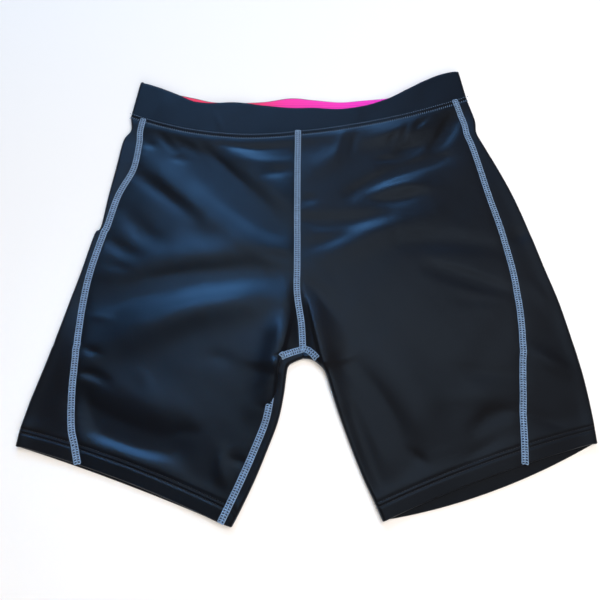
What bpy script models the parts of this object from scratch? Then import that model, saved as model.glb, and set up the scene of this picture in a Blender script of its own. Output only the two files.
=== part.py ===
"""Black stretch sports shorts, laid flat on their back, front side up.

The waistband points to +Y and the legs to -Y. Left and right are as seen from
above. Each panel is a closed wall of cloth. Its outer face is laid out in
sections, rows of points that run from the middle of the garment to its outer
fold, and its inner face lies one cloth thickness inside. The back panels lie
on the floor, wrap round the outer folds and come forward to the side seams.
"""

from collections import namedtuple
from math import cos, pi, radians, sin

import bpy
import numpy as np

MM = 0.001

# Cloth, mm
CLOTH = 1.1
HEM_CLOTH = 1.9
LINING = 1.0
SEAM_GAP = 0.3
LAYER_GAP = 0.4

# Flatlock seams, mm: thread bands that lie on the cloth
FLATLOCK_HALF = 3.2
FLATLOCK_RISE = 0.8

# Heights of the upper layer's outer face over the floor, mm
PUFF = 1.4
EDGE_LOFT = 1.1
EDGE_REACH = 9.0
HEM_DEPTH = 15.5
HEM_RISE = 1.1
HEM_REACH = 9.0
BAND_STACK = 5.8
WAIST_REACH = 13.0

# Middle of the garment's box in the tables' frame, mm
BOX_MIDDLE = (6.0, 32.8)

# The right inseam lies under the leg's inner fold by this much, mm
INSEAM_UNDER = 2.0

SEAM_COLUMNS = 15
STRIP_COLUMNS = 2
FLOOR_COLUMNS = 5
BAND_COLUMNS = 22
BAND_ROWS = 3
LINING_SHARES = (0.0, 0.5, 0.96)
FOLD_ANGLES = (90, 45, 0, -45, -90)

# A section of one half of the shorts, mm. front: the inner end of its upper
# layer, on the centre front seam or the inseam. back: the inner end of its
# lower layer, on the centre back seam or the leg's inner fold. outer: the outer
# fold. inset: from the outer fold to the side seam. bow: how far the middle of
# the section bends towards the waist. steps: mesh rows to the next section.
Section = namedtuple(
    "Section",
    "front_x front_y back_x back_y outer_x outer_y inset bow bow_back steps",
)

LEFT_BODY = (
    Section(-2.2, 189.8, -2.0, 205.0, -187.5, 213.0, 14.5, -13.0, -7.0, 2),
    Section(-2.4, 172.0, -2.0, 186.0, -185.6, 197.0, 10.6, -10.0, -5.0, 1),
    Section(-2.6, 160.0, -2.0, 172.0, -192.6, 183.5, 18.0, -8.0, -4.0, 2),
    Section(-2.8, 134.0, -2.0, 142.0, -196.8, 151.0, 19.0, -4.0, -2.0, 2),
    Section(-2.9, 104.0, -2.0, 108.0, -201.5, 115.0, 10.5, 0.0, 0.0, 2),
    Section(-2.9, 76.0, -1.5, 78.0, -205.3, 79.0, 7.0, 0.0, 0.0, 1),
    Section(-2.8, 68.0, -1.5, 70.0, -210.8, 70.5, 9.4, 0.0, 0.0, 2),
    Section(-2.9, 36.0, -1.0, 36.0, -219.5, 27.5, 9.8, 0.0, 0.0, 2),
    Section(-2.9, 6.0, 0.0, 4.0, -226.5, -3.0, 13.6, 0.0, 0.0, 2),
    Section(1.2, -24.0, 1.5, -28.0, -231.5, -26.0, 18.4, 0.0, 0.0, 1),
    Section(2.4, -46.0, 2.6, -52.0, -234.6, -39.5, 21.6, 0.0, 0.0, 1),
    Section(2.6, -51.5, 3.0, -60.3, -236.0, -47.0, 23.4, 0.0, 0.0, 1),
)

LEFT_LEG = (
    Section(2.6, -51.5, 3.0, -60.3, -236.0, -47.0, 23.4, 0.0, 0.0, 1),
    Section(-9.5, -55.6, -5.0, -63.6, -237.6, -52.0, 24.6, 0.0, 0.0, 1),
    Section(-19.4, -61.0, -10.4, -67.4, -239.4, -60.0, 27.0, 0.4, 0.0, 1),
    Section(-24.6, -73.0, -12.4, -75.0, -242.2, -71.0, 30.0, 0.8, 0.0, 2),
    Section(-27.0, -95.0, -15.0, -95.5, -246.0, -85.5, 34.0, 1.6, 0.0, 2),
    Section(-31.4, -119.0, -20.0, -119.5, -249.6, -99.0, 38.4, 2.6, 0.6, 2),
    Section(-41.0, -144.5, -29.2, -144.5, -252.2, -111.0, 43.0, 3.6, 1.2, 2),
    Section(-51.6, -169.6, -39.6, -170.2, -254.0, -120.5, 48.0, 4.4, 1.8, 2),
    Section(-62.4, -193.2, -51.4, -195.6, -255.2, -127.0, 55.0, 5.0, 2.2, 2),
    Section(-68.6, -206.4, -58.7, -209.7, -256.5, -141.4, 61.6, 5.0, 2.4, 1),
)

RIGHT_BODY = (
    Section(-2.2, 189.8, -2.0, 205.0, 187.4, 236.0, 14.0, -6.6, -7.0, 2),
    Section(-2.4, 172.0, -2.0, 186.0, 193.6, 210.0, 13.2, -5.0, -5.0, 1),
    Section(-2.6, 160.0, -2.0, 172.0, 193.6, 194.0, 11.4, -4.0, -4.0, 1),
    Section(-2.7, 149.0, -2.0, 158.0, 199.0, 179.0, 12.6, -3.0, -3.0, 2),
    Section(-2.8, 128.0, -2.0, 134.0, 211.4, 149.0, 19.0, -1.0, -1.0, 2),
    Section(-2.9, 102.0, -2.0, 106.0, 224.0, 114.5, 25.4, 0.0, 0.0, 2),
    Section(-2.9, 72.0, -1.5, 74.0, 235.4, 74.0, 28.6, 0.0, 0.0, 2),
    Section(-2.9, 40.0, -1.0, 40.0, 245.4, 33.0, 33.0, 0.0, 0.0, 2),
    Section(-2.9, 8.0, 0.0, 6.0, 254.2, -2.0, 39.6, 0.0, 0.0, 2),
    Section(1.0, -22.0, 1.5, -26.0, 259.0, -28.0, 44.6, 0.0, 0.0, 1),
    Section(2.4, -46.0, 2.6, -52.0, 261.6, -44.0, 48.4, 0.0, 0.0, 1),
    Section(3.0, -60.3, 3.0, -60.3, 263.2, -53.0, 50.6, 0.0, 0.0, 1),
)

RIGHT_LEG = (
    Section(3.0, -60.3, 3.0, -60.3, 263.2, -53.0, 50.6, 0.0, 0.0, 1),
    Section(11.2, -61.6, 11.2, -61.6, 264.0, -59.0, 52.4, 0.0, 0.0, 1),
    Section(18.6, -67.2, 18.6, -67.2, 265.0, -66.5, 54.4, 0.4, -0.4, 1),
    Section(24.2, -75.0, 24.2, -75.0, 266.0, -75.0, 56.4, 0.8, -0.8, 2),
    Section(30.2, -95.0, 30.2, -95.0, 267.4, -89.0, 59.6, 1.6, -1.6, 2),
    Section(37.8, -119.0, 37.8, -119.0, 268.2, -101.5, 62.4, 2.6, -3.0, 2),
    Section(47.6, -147.0, 47.6, -147.0, 268.6, -111.0, 65.0, 3.6, -5.0, 2),
    Section(56.8, -171.0, 56.8, -171.0, 268.7, -118.5, 67.4, 4.4, -6.6, 2),
    Section(65.6, -190.8, 65.6, -190.8, 268.7, -123.5, 70.0, 5.0, -8.0, 2),
    Section(71.5, -205.2, 71.5, -205.2, 268.7, -139.0, 72.0, 5.0, -8.4, 1),
)

# The waistband's free edge, mm: it sags at the front and shows the back inside
TopEdge = namedtuple("TopEdge", "x front_y back_y")

TOP_EDGE = (
    TopEdge(-181.0, 259.5, 259.5),
    TopEdge(-157.0, 252.0, 251.0),
    TopEdge(-137.0, 243.0, 246.0),
    TopEdge(-119.0, 234.0, 241.5),
    TopEdge(-100.0, 231.5, 236.5),
    TopEdge(-73.0, 232.5, 235.0),
    TopEdge(-40.0, 228.0, 236.5),
    TopEdge(-10.0, 224.8, 241.5),
    TopEdge(15.0, 225.0, 239.0),
    TopEdge(45.0, 223.5, 236.0),
    TopEdge(72.0, 228.0, 238.5),
    TopEdge(98.0, 237.5, 241.5),
    TopEdge(118.0, 249.0, 248.0),
    TopEdge(145.0, 264.0, 259.5),
    TopEdge(165.0, 272.5, 269.5),
    TopEdge(181.5, 275.3, 275.3),
)

# Soft folds of the upper layer, mm: a line from one end to the other that bows
# by sway to its left, and a ridge, or a trough where the height is negative
Fold = namedtuple("Fold", "x0 y0 x1 y1 sway width height")

FOLDS = (
    # Left hip
    Fold(-128, 172, -8, 60, 2, 38, -3.0),
    Fold(-165, 160, -10, 44, -12, 30, 1.8),
    Fold(-88, 178, -8, 98, 5, 30, 1.8),
    Fold(-176, 143, -108, 90, 0, 15, -1.6),
    Fold(-180, 95, -140, 60, -3, 20, -1.2),
    Fold(-198, 65, -162, 45, -2, 13, -1.2),
    # Left leg
    Fold(-180, 34, -20, 52, 4, 36, 1.6),
    Fold(-204, -4, -12, 28, 8, 32, -3.0),
    Fold(-206, -62, -16, 2, 16, 38, 3.4),
    Fold(-190, -76, -104, -114, -6, 34, 1.8),
    Fold(-204, -102, -112, -144, -9, 28, -3.2),
    Fold(-190, -138, -108, -164, 0, 18, 1.7),
    Fold(-70, -146, -64, -178, -3, 13, 1.3),
    Fold(-214, -8, -203, -140, -4, 50, 1.5),
    # Both sides of the crotch
    Fold(-14, -8, -38, -106, 4, 24, 3.2),
    Fold(-3, 12, 2, -48, 0, 14, -2.6),
    Fold(11, -8, 38, -100, -4, 22, 2.8),
    # Right hip
    Fold(54, 116, 158, 162, 4, 17, -2.4),
    Fold(78, 121, 142, 126, 5, 18, 1.6),
    Fold(92, 150, 138, 181, 0, 16, -1.4),
    Fold(140, 165, 178, 229, -3, 16, -2.2),
    Fold(70, 184, 142, 202, 0, 24, 1.8),
    Fold(62, 188, 14, 142, 0, 26, 1.7),
    Fold(4, 84, 90, 91, -3, 18, -2.0),
    Fold(6, 55, 56, 73, 0, 16, -1.4),
    Fold(28, 48, 136, 92, 4, 30, 2.2),
    Fold(104, 61, 206, 53, 5, 20, -1.5),
    Fold(130, 33, 212, 4, 0, 15, -1.6),
    # Right leg
    Fold(16, 12, 52, -56, 4, 24, -1.6),
    Fold(44, -60, 98, -152, 3, 26, -2.4),
    Fold(84, -50, 124, -142, 3, 44, 1.8),
    Fold(44, -96, 70, -176, 0, 15, -1.3),
    Fold(160, -125, 200, -110, 4, 15, -1.6),
    Fold(145, -157, 176, -141, 0, 13, -1.3),
    Fold(220, -52, 258, -78, 0, 18, 1.8),
    Fold(214, 65, 236, 73, 0, 13, -1.2),
    # Waistband
    Fold(-150, 206, -144, 244, 0, 12, 0.7),
    Fold(-128, 200, -121, 234, 0, 12, -0.6),
    Fold(-108, 196, -104, 230, 0, 12, 0.6),
)

BLACK_CLOTH = (0.010, 0.012, 0.018, 1.0)
BAND_BLACK = (0.009, 0.010, 0.014, 1.0)
PINK_LINING = (0.900, 0.030, 0.420, 1.0)
STEEL_THREAD = (0.180, 0.300, 0.420, 1.0)

Station = namedtuple("Station", "front back outer inset bow bow_back wall leg")
Grid = namedtuple("Grid", "points normals wall there")


def unit(v):
    return np.asarray(v) / np.linalg.norm(v)


def lerp(a, b, t):
    return a + (b - a) * t


def through(rows, i, t):
    """Smooth curve through table rows, from row i towards row i + 1."""
    a = rows[max(i - 1, 0)]
    b = rows[i]
    c = rows[i + 1]
    d = rows[min(i + 2, len(rows) - 1)]
    m0 = (c - a) / 2
    m1 = (d - b) / 2
    cubic = 2 * b - 2 * c + m0 + m1
    square = -3 * b + 3 * c - 2 * m0 - m1
    return ((cubic * t + square) * t + m0) * t + b


def station(values, wall, leg):
    return Station(
        values[0:2], values[2:4], values[4:6], values[6], values[7], values[8], wall, leg
    )


def stations(body, leg_rows):
    """Mesh rows from the waist seam to the hem, and the index of the crotch row."""
    made = []
    for leg, sections in ((False, body), (True, leg_rows)):
        rows = [np.array(section[:-1], float) for section in sections]
        last = len(rows) - 1
        if leg:
            crotch = len(made)
        for i in range(last):
            hem = leg and i == last - 1
            for step in range(sections[i].steps):
                t = step / sections[i].steps
                wall = HEM_CLOTH if hem else CLOTH
                made.append(station(through(rows, i, t), wall, leg))
            if leg and i == last - 2:
                made.append(station(through(rows, i, 0.96), CLOTH, True))
    made.append(station(rows[last], HEM_CLOTH, True))
    return made, crotch


def along(st, f, lower=False):
    """Plan point on a section, from its inner end at 0 to the outer fold at 1."""
    inner = st.back if lower else st.front
    bow = st.bow_back if lower else st.bow
    return lerp(inner, st.outer, f) + np.array((0.0, 4 * f * (1 - f) * bow))


def distance_to_path(x, y, path):
    """Shortest plan distance from points to a path of straight runs."""
    best = np.full(np.shape(x), 1e9)
    for (ax, ay), (bx, by) in zip(path[:-1], path[1:]):
        dx, dy = bx - ax, by - ay
        t = np.clip(((x - ax) * dx + (y - ay) * dy) / (dx * dx + dy * dy), 0, 1)
        best = np.minimum(best, np.hypot(x - ax - t * dx, y - ay - t * dy))
    return best


def fold_relief(x, y):
    """Sum of the soft ridges and troughs at plan points."""
    total = np.zeros(np.shape(x))
    for fold in FOLDS:
        dx, dy = fold.x1 - fold.x0, fold.y1 - fold.y0
        length = np.hypot(dx, dy)
        t = np.clip(((x - fold.x0) * dx + (y - fold.y0) * dy) / length**2, 0, 1)
        bend = fold.sway * 4 * t * (1 - t)
        px = fold.x0 + t * dx - bend * dy / length
        py = fold.y0 + t * dy + bend * dx / length
        away = np.hypot(x - px, y - py) / (fold.width / 2)
        total += fold.height * (0.35 + 0.65 * np.sin(pi * t)) * np.exp(-away * away)
    return total


LEFT, LEFT_CROTCH = stations(LEFT_BODY, LEFT_LEG)
RIGHT, RIGHT_CROTCH = stations(RIGHT_BODY, RIGHT_LEG)
EDGES = (
    [st.outer for st in LEFT],
    [st.outer for st in RIGHT],
    [st.back for st in LEFT if st.leg],
    [st.back for st in RIGHT if st.leg],
)
SHARES = np.linspace(0, 1, 13)
HEMS = ([along(LEFT[-1], f) for f in SHARES], [along(RIGHT[-1], f) for f in SHARES])
WAIST = np.array(
    [along(LEFT[0], f) for f in SHARES[::-1]] + [along(RIGHT[0], f) for f in SHARES[1:]]
)


def height(x, y):
    """Height of the upper layer's outer face at plan points."""
    edge = np.min([distance_to_path(x, y, path) for path in EDGES], axis=0)
    hem = np.min([distance_to_path(x, y, path) for path in HEMS], axis=0)
    below_waist = np.maximum(np.interp(x, WAIST[:, 0], WAIST[:, 1]) - y, 0)
    near_waist = np.exp(-((below_waist / WAIST_REACH) ** 2))
    past_hem = np.maximum(hem - HEM_DEPTH, 0)
    near_hem = np.exp(-((past_hem / HEM_REACH) ** 2))
    loose = PUFF + fold_relief(x, y) * (1 - 0.5 * near_hem) * (1 - 0.6 * near_waist)
    loose = (loose + np.sqrt(loose * loose + 0.4)) / 2
    flat = 2 * CLOTH + LAYER_GAP
    edges = EDGE_LOFT * np.exp(-((edge / EDGE_REACH) ** 2))
    body = flat + loose + edges + HEM_RISE * near_hem
    band = BAND_STACK + loose - PUFF
    return lerp(body, np.maximum(band, BAND_STACK), near_waist)


def on_top(p):
    """Point and outward normal of the upper layer over a plan point."""
    x = np.array((p[0], p[0] + 0.5, p[0] - 0.5, p[0], p[0]))
    y = np.array((p[1], p[1], p[1], p[1] + 0.5, p[1] - 0.5))
    z = height(x, y)
    return np.array((p[0], p[1], z[0])), unit((z[2] - z[1], z[4] - z[3], 1.0))


def on_floor(p):
    return np.array((p[0], p[1], 0.0)), np.array((0.0, 0.0, -1.0))


def fold_radius(edge, inward):
    inside = edge + inward * 2.5
    return float(height(inside[0], inside[1])) / 2


def round_fold(edge, inward, angle):
    """Point and normal on a fold, from its top at 90 degrees to its floor at -90."""
    c, s = cos(radians(angle)), sin(radians(angle))
    radius = fold_radius(edge, inward)
    plan = edge + inward * radius * (1 - c)
    top, up = on_top(plan)
    rise = top[2] - radius if s > 0 else radius
    lift = up if s > 0 else np.array((0.0, 0.0, 1.0))
    normal = unit(lift * s - np.append(inward, 0) * c)
    return np.array((plan[0], plan[1], radius + rise * s)), normal


def across(path, i, towards):
    """Unit vector square to a path of plan points, on the side of another point."""
    run = path[min(i + 1, len(path) - 1)] - path[max(i - 1, 0)]
    side = unit((-run[1], run[0]))
    return side if np.dot(side, towards - path[i]) > 0 else -side


def outer_inward(rows, i):
    return across([st.outer for st in rows], i, rows[i].front)


def solid(name, grid, colour, roughness, closed=False):
    """Closed wall: the grid's points outside, one wall thickness in its inside."""
    count_rows, count_columns = grid.there.shape
    index = {}
    outer, inner = [], []
    for i in range(count_rows):
        for j in range(count_columns):
            if grid.there[i, j]:
                index[i, j] = len(outer)
                outer.append(grid.points[i, j])
                inner.append(grid.points[i, j] - grid.normals[i, j] * grid.wall[i])
    cells = []
    for i in range(count_rows - 1):
        for j in range(count_columns if closed else count_columns - 1):
            k = (j + 1) % count_columns
            corners = ((i, j), (i, k), (i + 1, k), (i + 1, j))
            if all(corner in index for corner in corners):
                cells.append([index[corner] for corner in corners])
    a, b, c = (outer[n] for n in cells[0][:3])
    i, j = next(key for key, n in index.items() if n == cells[0][0])
    if np.dot(np.cross(b - a, c - b), grid.normals[i, j]) < 0:
        cells = [cell[::-1] for cell in cells]
    sides = {}
    for cell in cells:
        for a, b in zip(cell, cell[1:] + cell[:1]):
            sides[a, b] = True
    under = len(outer)
    faces = list(cells)
    faces += [[n + under for n in reversed(cell)] for cell in cells]
    faces += [[b, a, a + under, b + under] for a, b in sides if (b, a) not in sides]
    vertices = np.array(outer + inner) * MM
    return add_mesh(name, vertices, faces, colour, roughness)


def add_mesh(name, vertices, faces, colour, roughness):
    mesh = bpy.data.meshes.new(name)
    mesh.from_pydata([tuple(v) for v in vertices], [], faces)
    mesh.shade_smooth()
    mesh.set_sharp_from_angle(angle=radians(50))
    material = bpy.data.materials.new(name + "_finish")
    material.use_nodes = True
    shader = material.node_tree.nodes["Principled BSDF"]
    shader.inputs["Base Color"].default_value = colour
    shader.inputs["Roughness"].default_value = roughness
    shader.inputs["Metallic"].default_value = 0.0
    mesh.materials.append(material)
    item = bpy.data.objects.new(name, mesh)
    bpy.context.collection.objects.link(item)
    item.parent = bpy.data.objects["garment"]
    return item


def grid_of(rows, walls):
    """Grid from rows of (point, normal) pairs, with None where nothing is."""
    shape = (len(rows), len(rows[0]))
    points = np.zeros(shape + (3,))
    normals = np.zeros(shape + (3,))
    there = np.zeros(shape, bool)
    for i, row in enumerate(rows):
        for j, item in enumerate(row):
            if item is not None:
                points[i, j], normals[i, j] = item
                there[i, j] = True
    return Grid(points, normals, np.array(walls), there)


def waist_shift(i):
    """The panels stop half a gap short of the waistband."""
    return np.array((0.0, -SEAM_GAP / 2 if i == 0 else 0.0))


def side_seam(st):
    """Share of the section at its side seam, and that point before the bow."""
    share = 1 - st.inset / np.linalg.norm(st.outer - st.front)
    return share, lerp(st.front, st.outer, share)


def front_row(rows, i, crotch, sign):
    """One row of a front panel, from its inner end to the side seam."""
    st = rows[i]
    share, seam = side_seam(st)
    half = SEAM_GAP / 2
    row = []
    if sign > 0:
        row = [None] * len(FOLD_ANGLES)
    if sign > 0 and st.leg:
        inward = right_inward(i)
        shift = np.array((half if i == crotch else 0.0, 0.0))
        edge = st.back + shift
        reach = fold_radius(edge, inward) + INSEAM_UNDER
        row = [on_floor(edge + inward * reach)]
        row += [round_fold(edge, inward, angle) for angle in FOLD_ANGLES[:0:-1]]
        start = edge + inward * fold_radius(edge, inward)
        second = start + unit(seam - start) * FLATLOCK_HALF
    elif st.leg:
        outward = unit(st.front - st.back)
        into = unit(outward + unit(seam - st.front))
        shift = np.array((-half if i == crotch else 0.0, 0.0))
        start = st.front + into * half + shift
        second = st.front + into * FLATLOCK_HALF
    else:
        start = st.front + np.array((sign * half, 0.0))
        second = st.front + unit(seam - st.front) * FLATLOCK_HALF
    ends = unit(second - seam)
    stops = [start, second]
    last = seam + ends * FLATLOCK_HALF
    stops += [lerp(second, last, k / SEAM_COLUMNS) for k in range(1, SEAM_COLUMNS)]
    stops += [last, seam + ends * half]
    total = np.linalg.norm(seam - start)
    for p in stops:
        f = share * np.linalg.norm(p - start) / total
        bowed = p + np.array((0.0, 4 * f * (1 - f) * st.bow)) + waist_shift(i)
        row.append(on_top(bowed))
    return row


def right_inward(i):
    if i == RIGHT_CROTCH:
        return np.array((0.0, 1.0))
    path = [st.back for st in RIGHT[RIGHT_CROTCH:]]
    return across(path, i - RIGHT_CROTCH, RIGHT[i].outer)


def back_row(rows, i, crotch, sign):
    """One row of a back panel: side seam, outer fold, floor, and the left flap."""
    st = rows[i]
    half = SEAM_GAP / 2
    _, seam = side_seam(st)
    inward = outer_inward(rows, i)
    fold_top = st.outer + inward * fold_radius(st.outer, inward)
    out = unit(fold_top - seam)
    first = seam + out * half
    second = seam + out * FLATLOCK_HALF
    stops = [first]
    stops += [lerp(second, fold_top, k / STRIP_COLUMNS) for k in range(STRIP_COLUMNS)]
    row = []
    for p in stops:
        f = 1 - np.linalg.norm(p - st.outer) / np.linalg.norm(st.outer - st.front)
        bowed = p + np.array((0.0, 4 * f * (1 - f) * st.bow)) + waist_shift(i)
        row.append(on_top(bowed))
    for angle in FOLD_ANGLES:
        point, normal = round_fold(st.outer, inward, angle)
        row.append((point + np.append(waist_shift(i), 0), normal))
    floor_start = fold_top
    flap = [None] * (len(FOLD_ANGLES) + 1)
    if not st.leg:
        floor_end = st.back + np.array((sign * half, 0.0))
    elif sign > 0:
        turn = right_inward(i)
        reach = fold_radius(st.back, turn) + INSEAM_UNDER + SEAM_GAP
        floor_end = st.back + turn * reach
        if i == crotch:
            floor_end = floor_end + np.array((half, 0.0))
    else:
        turn = unit(st.front - st.back)
        shift = np.array((-half if i == crotch else 0.0, 0.0))
        edge = st.back + shift
        floor_end = edge + turn * fold_radius(edge, turn)
        flap = [round_fold(edge, turn, angle) for angle in FOLD_ANGLES[-2::-1]]
        flap.append(on_top(st.front - turn * FLATLOCK_HALF + shift))
        flap.append(on_top(st.front - turn * half + shift))
    for k in range(1, FLOOR_COLUMNS + 1):
        f = k / FLOOR_COLUMNS
        p = lerp(floor_start, floor_end, f)
        p = p + np.array((0.0, 4 * f * (1 - f) * st.bow_back)) + waist_shift(i)
        row.append(on_floor(p))
    return row + (flap if sign < 0 else [])


def panel(name, rows, crotch, sign, row_of):
    made = [row_of(rows, i, crotch, sign) for i in range(len(rows))]
    grid = grid_of(made, [st.wall for st in rows])
    solid(name, grid, BLACK_CLOTH, 0.55)
    return grid


def top_edge_y(x, column):
    """Height in plan of the waistband's free edge, smooth through its table."""
    table = [np.array(row, float) for row in TOP_EDGE]
    i = max(k for k in range(len(table) - 1) if k == 0 or table[k][0] <= x)
    t = (x - table[i][0]) / (table[i + 1][0] - table[i][0])
    return through(table, i, t)[column]


def band_row(t, seams):
    """One row round the waistband: front, right fold, back, left fold."""
    folds = []
    for rows, top in ((LEFT, TOP_EDGE[0]), (RIGHT, TOP_EDGE[-1])):
        inward = outer_inward(rows, 0)
        low = rows[0].outer + np.array((0.0, SEAM_GAP / 2))
        high = np.array((top.x, top.front_y))
        ends = [edge + inward * fold_radius(edge, inward) for edge in (low, high)]
        folds.append((lerp(low, high, t), inward, ends))
    (left, left_in, left_ends), (right, right_in, right_ends) = folds
    layers = []
    for seam, part in zip(seams, (1, 2)):
        layer = []
        for k in range(1, BAND_COLUMNS):
            x_low, x_high = (
                lerp(a[0], b[0], k / BAND_COLUMNS) for a, b in zip(left_ends, right_ends)
            )
            y_low = np.interp(x_low, seam[:, 0], seam[:, 1]) + SEAM_GAP
            low = np.array((x_low, y_low))
            layer.append(lerp(low, np.array((x_high, top_edge_y(x_high, part))), t))
        layers.append(layer)
    row = [on_top(p) for p in layers[0]]
    row += [round_fold(right, right_in, angle) for angle in FOLD_ANGLES]
    row += [on_floor(p) for p in reversed(layers[1])]
    row += [round_fold(left, left_in, angle) for angle in reversed(FOLD_ANGLES)]
    return row


def waist_seams(fronts, backs):
    """The panels' own upper and lower end points along the waist, left to right."""
    turn = STRIP_COLUMNS + 1
    upper = [grid.points[0, grid.there[0]] for grid in fronts]
    upper += [grid.points[0, : turn + 1] for grid in backs]
    first = turn + len(FOLD_ANGLES) - 1
    lower = [grid.points[0, first : first + FLOOR_COLUMNS + 1] for grid in backs]
    seams = []
    for parts in (upper, lower):
        points = np.concatenate(parts)[:, :2]
        seams.append(points[np.argsort(points[:, 0])])
    return seams


def waistband(seams):
    """Outer ring, and the lining ring inside it, a little lower at the edge."""
    shares = np.linspace(0, 1, BAND_ROWS + 1)
    band = grid_of([band_row(t, seams) for t in shares], [CLOTH] * len(shares))
    solid("waistband", band, BAND_BLACK, 0.6, closed=True)
    rows = [band_row(t, seams) for t in LINING_SHARES]
    lining = grid_of(rows, [LINING] * len(rows))
    inside = lining.points - lining.normals * (CLOTH + SEAM_GAP)
    solid("waistband_lining", lining._replace(points=inside), PINK_LINING, 0.6, closed=True)


def flatlock(name, outer_side, seam_side, other_seam_side, other_side):
    """Thread band over a seam, from the two panels' own points, moved out."""
    middle = [
        ((a[0] + b[0]) / 2, unit(a[1] + b[1])) for a, b in zip(seam_side, other_seam_side)
    ]
    rise = SEAM_GAP + FLATLOCK_RISE
    rows = []
    for trio in zip(outer_side, middle, other_side):
        rows.append([(point + normal * rise, normal) for point, normal in trio])
    grid = grid_of(rows, [FLATLOCK_RISE] * len(rows))
    solid(name, grid, STEEL_THREAD, 0.5)


def column(grid, j, first, last):
    return [(grid.points[i, j], grid.normals[i, j]) for i in range(first, last)]


def build():
    for item in list(bpy.data.objects):
        bpy.data.objects.remove(item, do_unlink=True)
    garment = bpy.data.objects.new("garment", None)
    bpy.context.collection.objects.link(garment)
    garment.location = (-BOX_MIDDLE[0] * MM, -BOX_MIDDLE[1] * MM, 0.0)

    front_left = panel("front_left", LEFT, LEFT_CROTCH, -1, front_row)
    front_right = panel("front_right", RIGHT, RIGHT_CROTCH, 1, front_row)
    back_left = panel("back_left", LEFT, LEFT_CROTCH, -1, back_row)
    back_right = panel("back_right", RIGHT, RIGHT_CROTCH, 1, back_row)
    waistband(waist_seams((front_left, front_right), (back_left, back_right)))

    skipped = len(FOLD_ANGLES)
    end = LEFT_CROTCH
    flatlock(
        "seam_centre_front",
        column(front_left, 1, 0, end),
        column(front_left, 0, 0, end),
        column(front_right, skipped, 0, end),
        column(front_right, skipped + 1, 0, end),
    )
    for name, front, back in (
        ("seam_side_left", front_left, back_left),
        ("seam_side_right", front_right, back_right),
    ):
        count = len(front.wall)
        flatlock(
            name,
            column(back, 1, 0, count),
            column(back, 0, 0, count),
            column(front, -1, 0, count),
            column(front, -2, 0, count),
        )
    count = len(front_left.wall)
    flatlock(
        "seam_inseam_left",
        column(back_left, -2, LEFT_CROTCH, count),
        column(back_left, -1, LEFT_CROTCH, count),
        column(front_left, 0, LEFT_CROTCH, count),
        column(front_left, 1, LEFT_CROTCH, count),
    )


build()
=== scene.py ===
"""Looks of the black stretch sports shorts, laid flat, front side up.

Every length here is in millimetres until a mesh is made. The sections, the
waistband's edge and the folds are the ones that the solids are made from, and
the shells here follow them on a finer grid, with small creases, seam grooves,
flatlock thread and coverstitching added.
"""

from collections import namedtuple
from math import cos, pi, radians, sin

import bpy
import numpy as np
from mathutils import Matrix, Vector


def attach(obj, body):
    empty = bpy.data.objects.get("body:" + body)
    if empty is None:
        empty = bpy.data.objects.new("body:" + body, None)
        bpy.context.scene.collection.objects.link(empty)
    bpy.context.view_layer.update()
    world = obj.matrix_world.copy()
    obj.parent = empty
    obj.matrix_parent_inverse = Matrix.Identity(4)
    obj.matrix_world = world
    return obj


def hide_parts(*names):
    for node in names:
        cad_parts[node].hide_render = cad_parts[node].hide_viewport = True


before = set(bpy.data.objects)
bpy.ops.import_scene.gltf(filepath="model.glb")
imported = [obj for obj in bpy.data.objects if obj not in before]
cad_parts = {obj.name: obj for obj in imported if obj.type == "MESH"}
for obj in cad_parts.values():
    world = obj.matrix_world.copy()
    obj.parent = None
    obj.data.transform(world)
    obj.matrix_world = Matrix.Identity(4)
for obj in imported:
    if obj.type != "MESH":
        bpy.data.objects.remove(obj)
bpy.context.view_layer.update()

MM = 0.001

# Cloth, mm
CLOTH = 1.1
HEM_CLOTH = 1.9
LINING = 1.0
SEAM_GAP = 0.3
LAYER_GAP = 0.4

# Flatlock seams, mm
FLATLOCK_HALF = 3.2
FLATLOCK_PITCH = 2.3
FLATLOCK_OVER_WAIST = 5.0

# Heights of the upper layer's outer face over the floor, mm
PUFF = 1.4
EDGE_LOFT = 1.1
EDGE_REACH = 9.0
HEM_DEPTH = 15.5
HEM_RISE = 1.1
HEM_REACH = 9.0
BAND_STACK = 5.8
WAIST_REACH = 13.0

# Middle of the garment's box in the tables' frame, mm
BOX_MIDDLE = (6.0, 32.8)

# The right inseam lies under the leg's inner fold by this much, mm
INSEAM_UNDER = 2.0

# The finer grid
ROW_SPLIT = 6
HEM_SPLIT = 20
CROTCH_ROWS = 18
SEAM_COLUMNS = 110
INNER_CROWD = 1.35
STRIP_COLUMNS = 18
FLOOR_COLUMNS = 24
BAND_COLUMNS = 150
BAND_ROWS = 16
FOLD_ANGLES = tuple(range(90, -91, -15))

# How far a cut or folded edge rounds out, as a share of its wall
RIM_BULGE = 0.35

# The lining stops short of the waistband's free edge by this share
LINING_TOP = 0.96

# Flatlock ribbon's cross-section, mm: across, rise, and tone from lane to rail
RIBBON_PITCH = 1.15
LANE_DEPTH = 0.3
RIBBON = (
    (-3.3, -0.3, 0.3),
    (-3.2, 0.35, 0.8),
    (-2.9, 0.75, 1.0),
    (-2.5, 0.72, 0.9),
    (-2.2, 0.22, 0.0),
    (-0.75, 0.22, 0.0),
    (-0.4, 0.66, 0.9),
    (0.0, 0.8, 1.0),
    (0.4, 0.66, 0.9),
    (0.75, 0.22, 0.0),
    (2.2, 0.22, 0.0),
    (2.5, 0.72, 0.9),
    (2.9, 0.75, 1.0),
    (3.2, 0.35, 0.8),
    (3.3, -0.3, 0.3),
)

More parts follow.
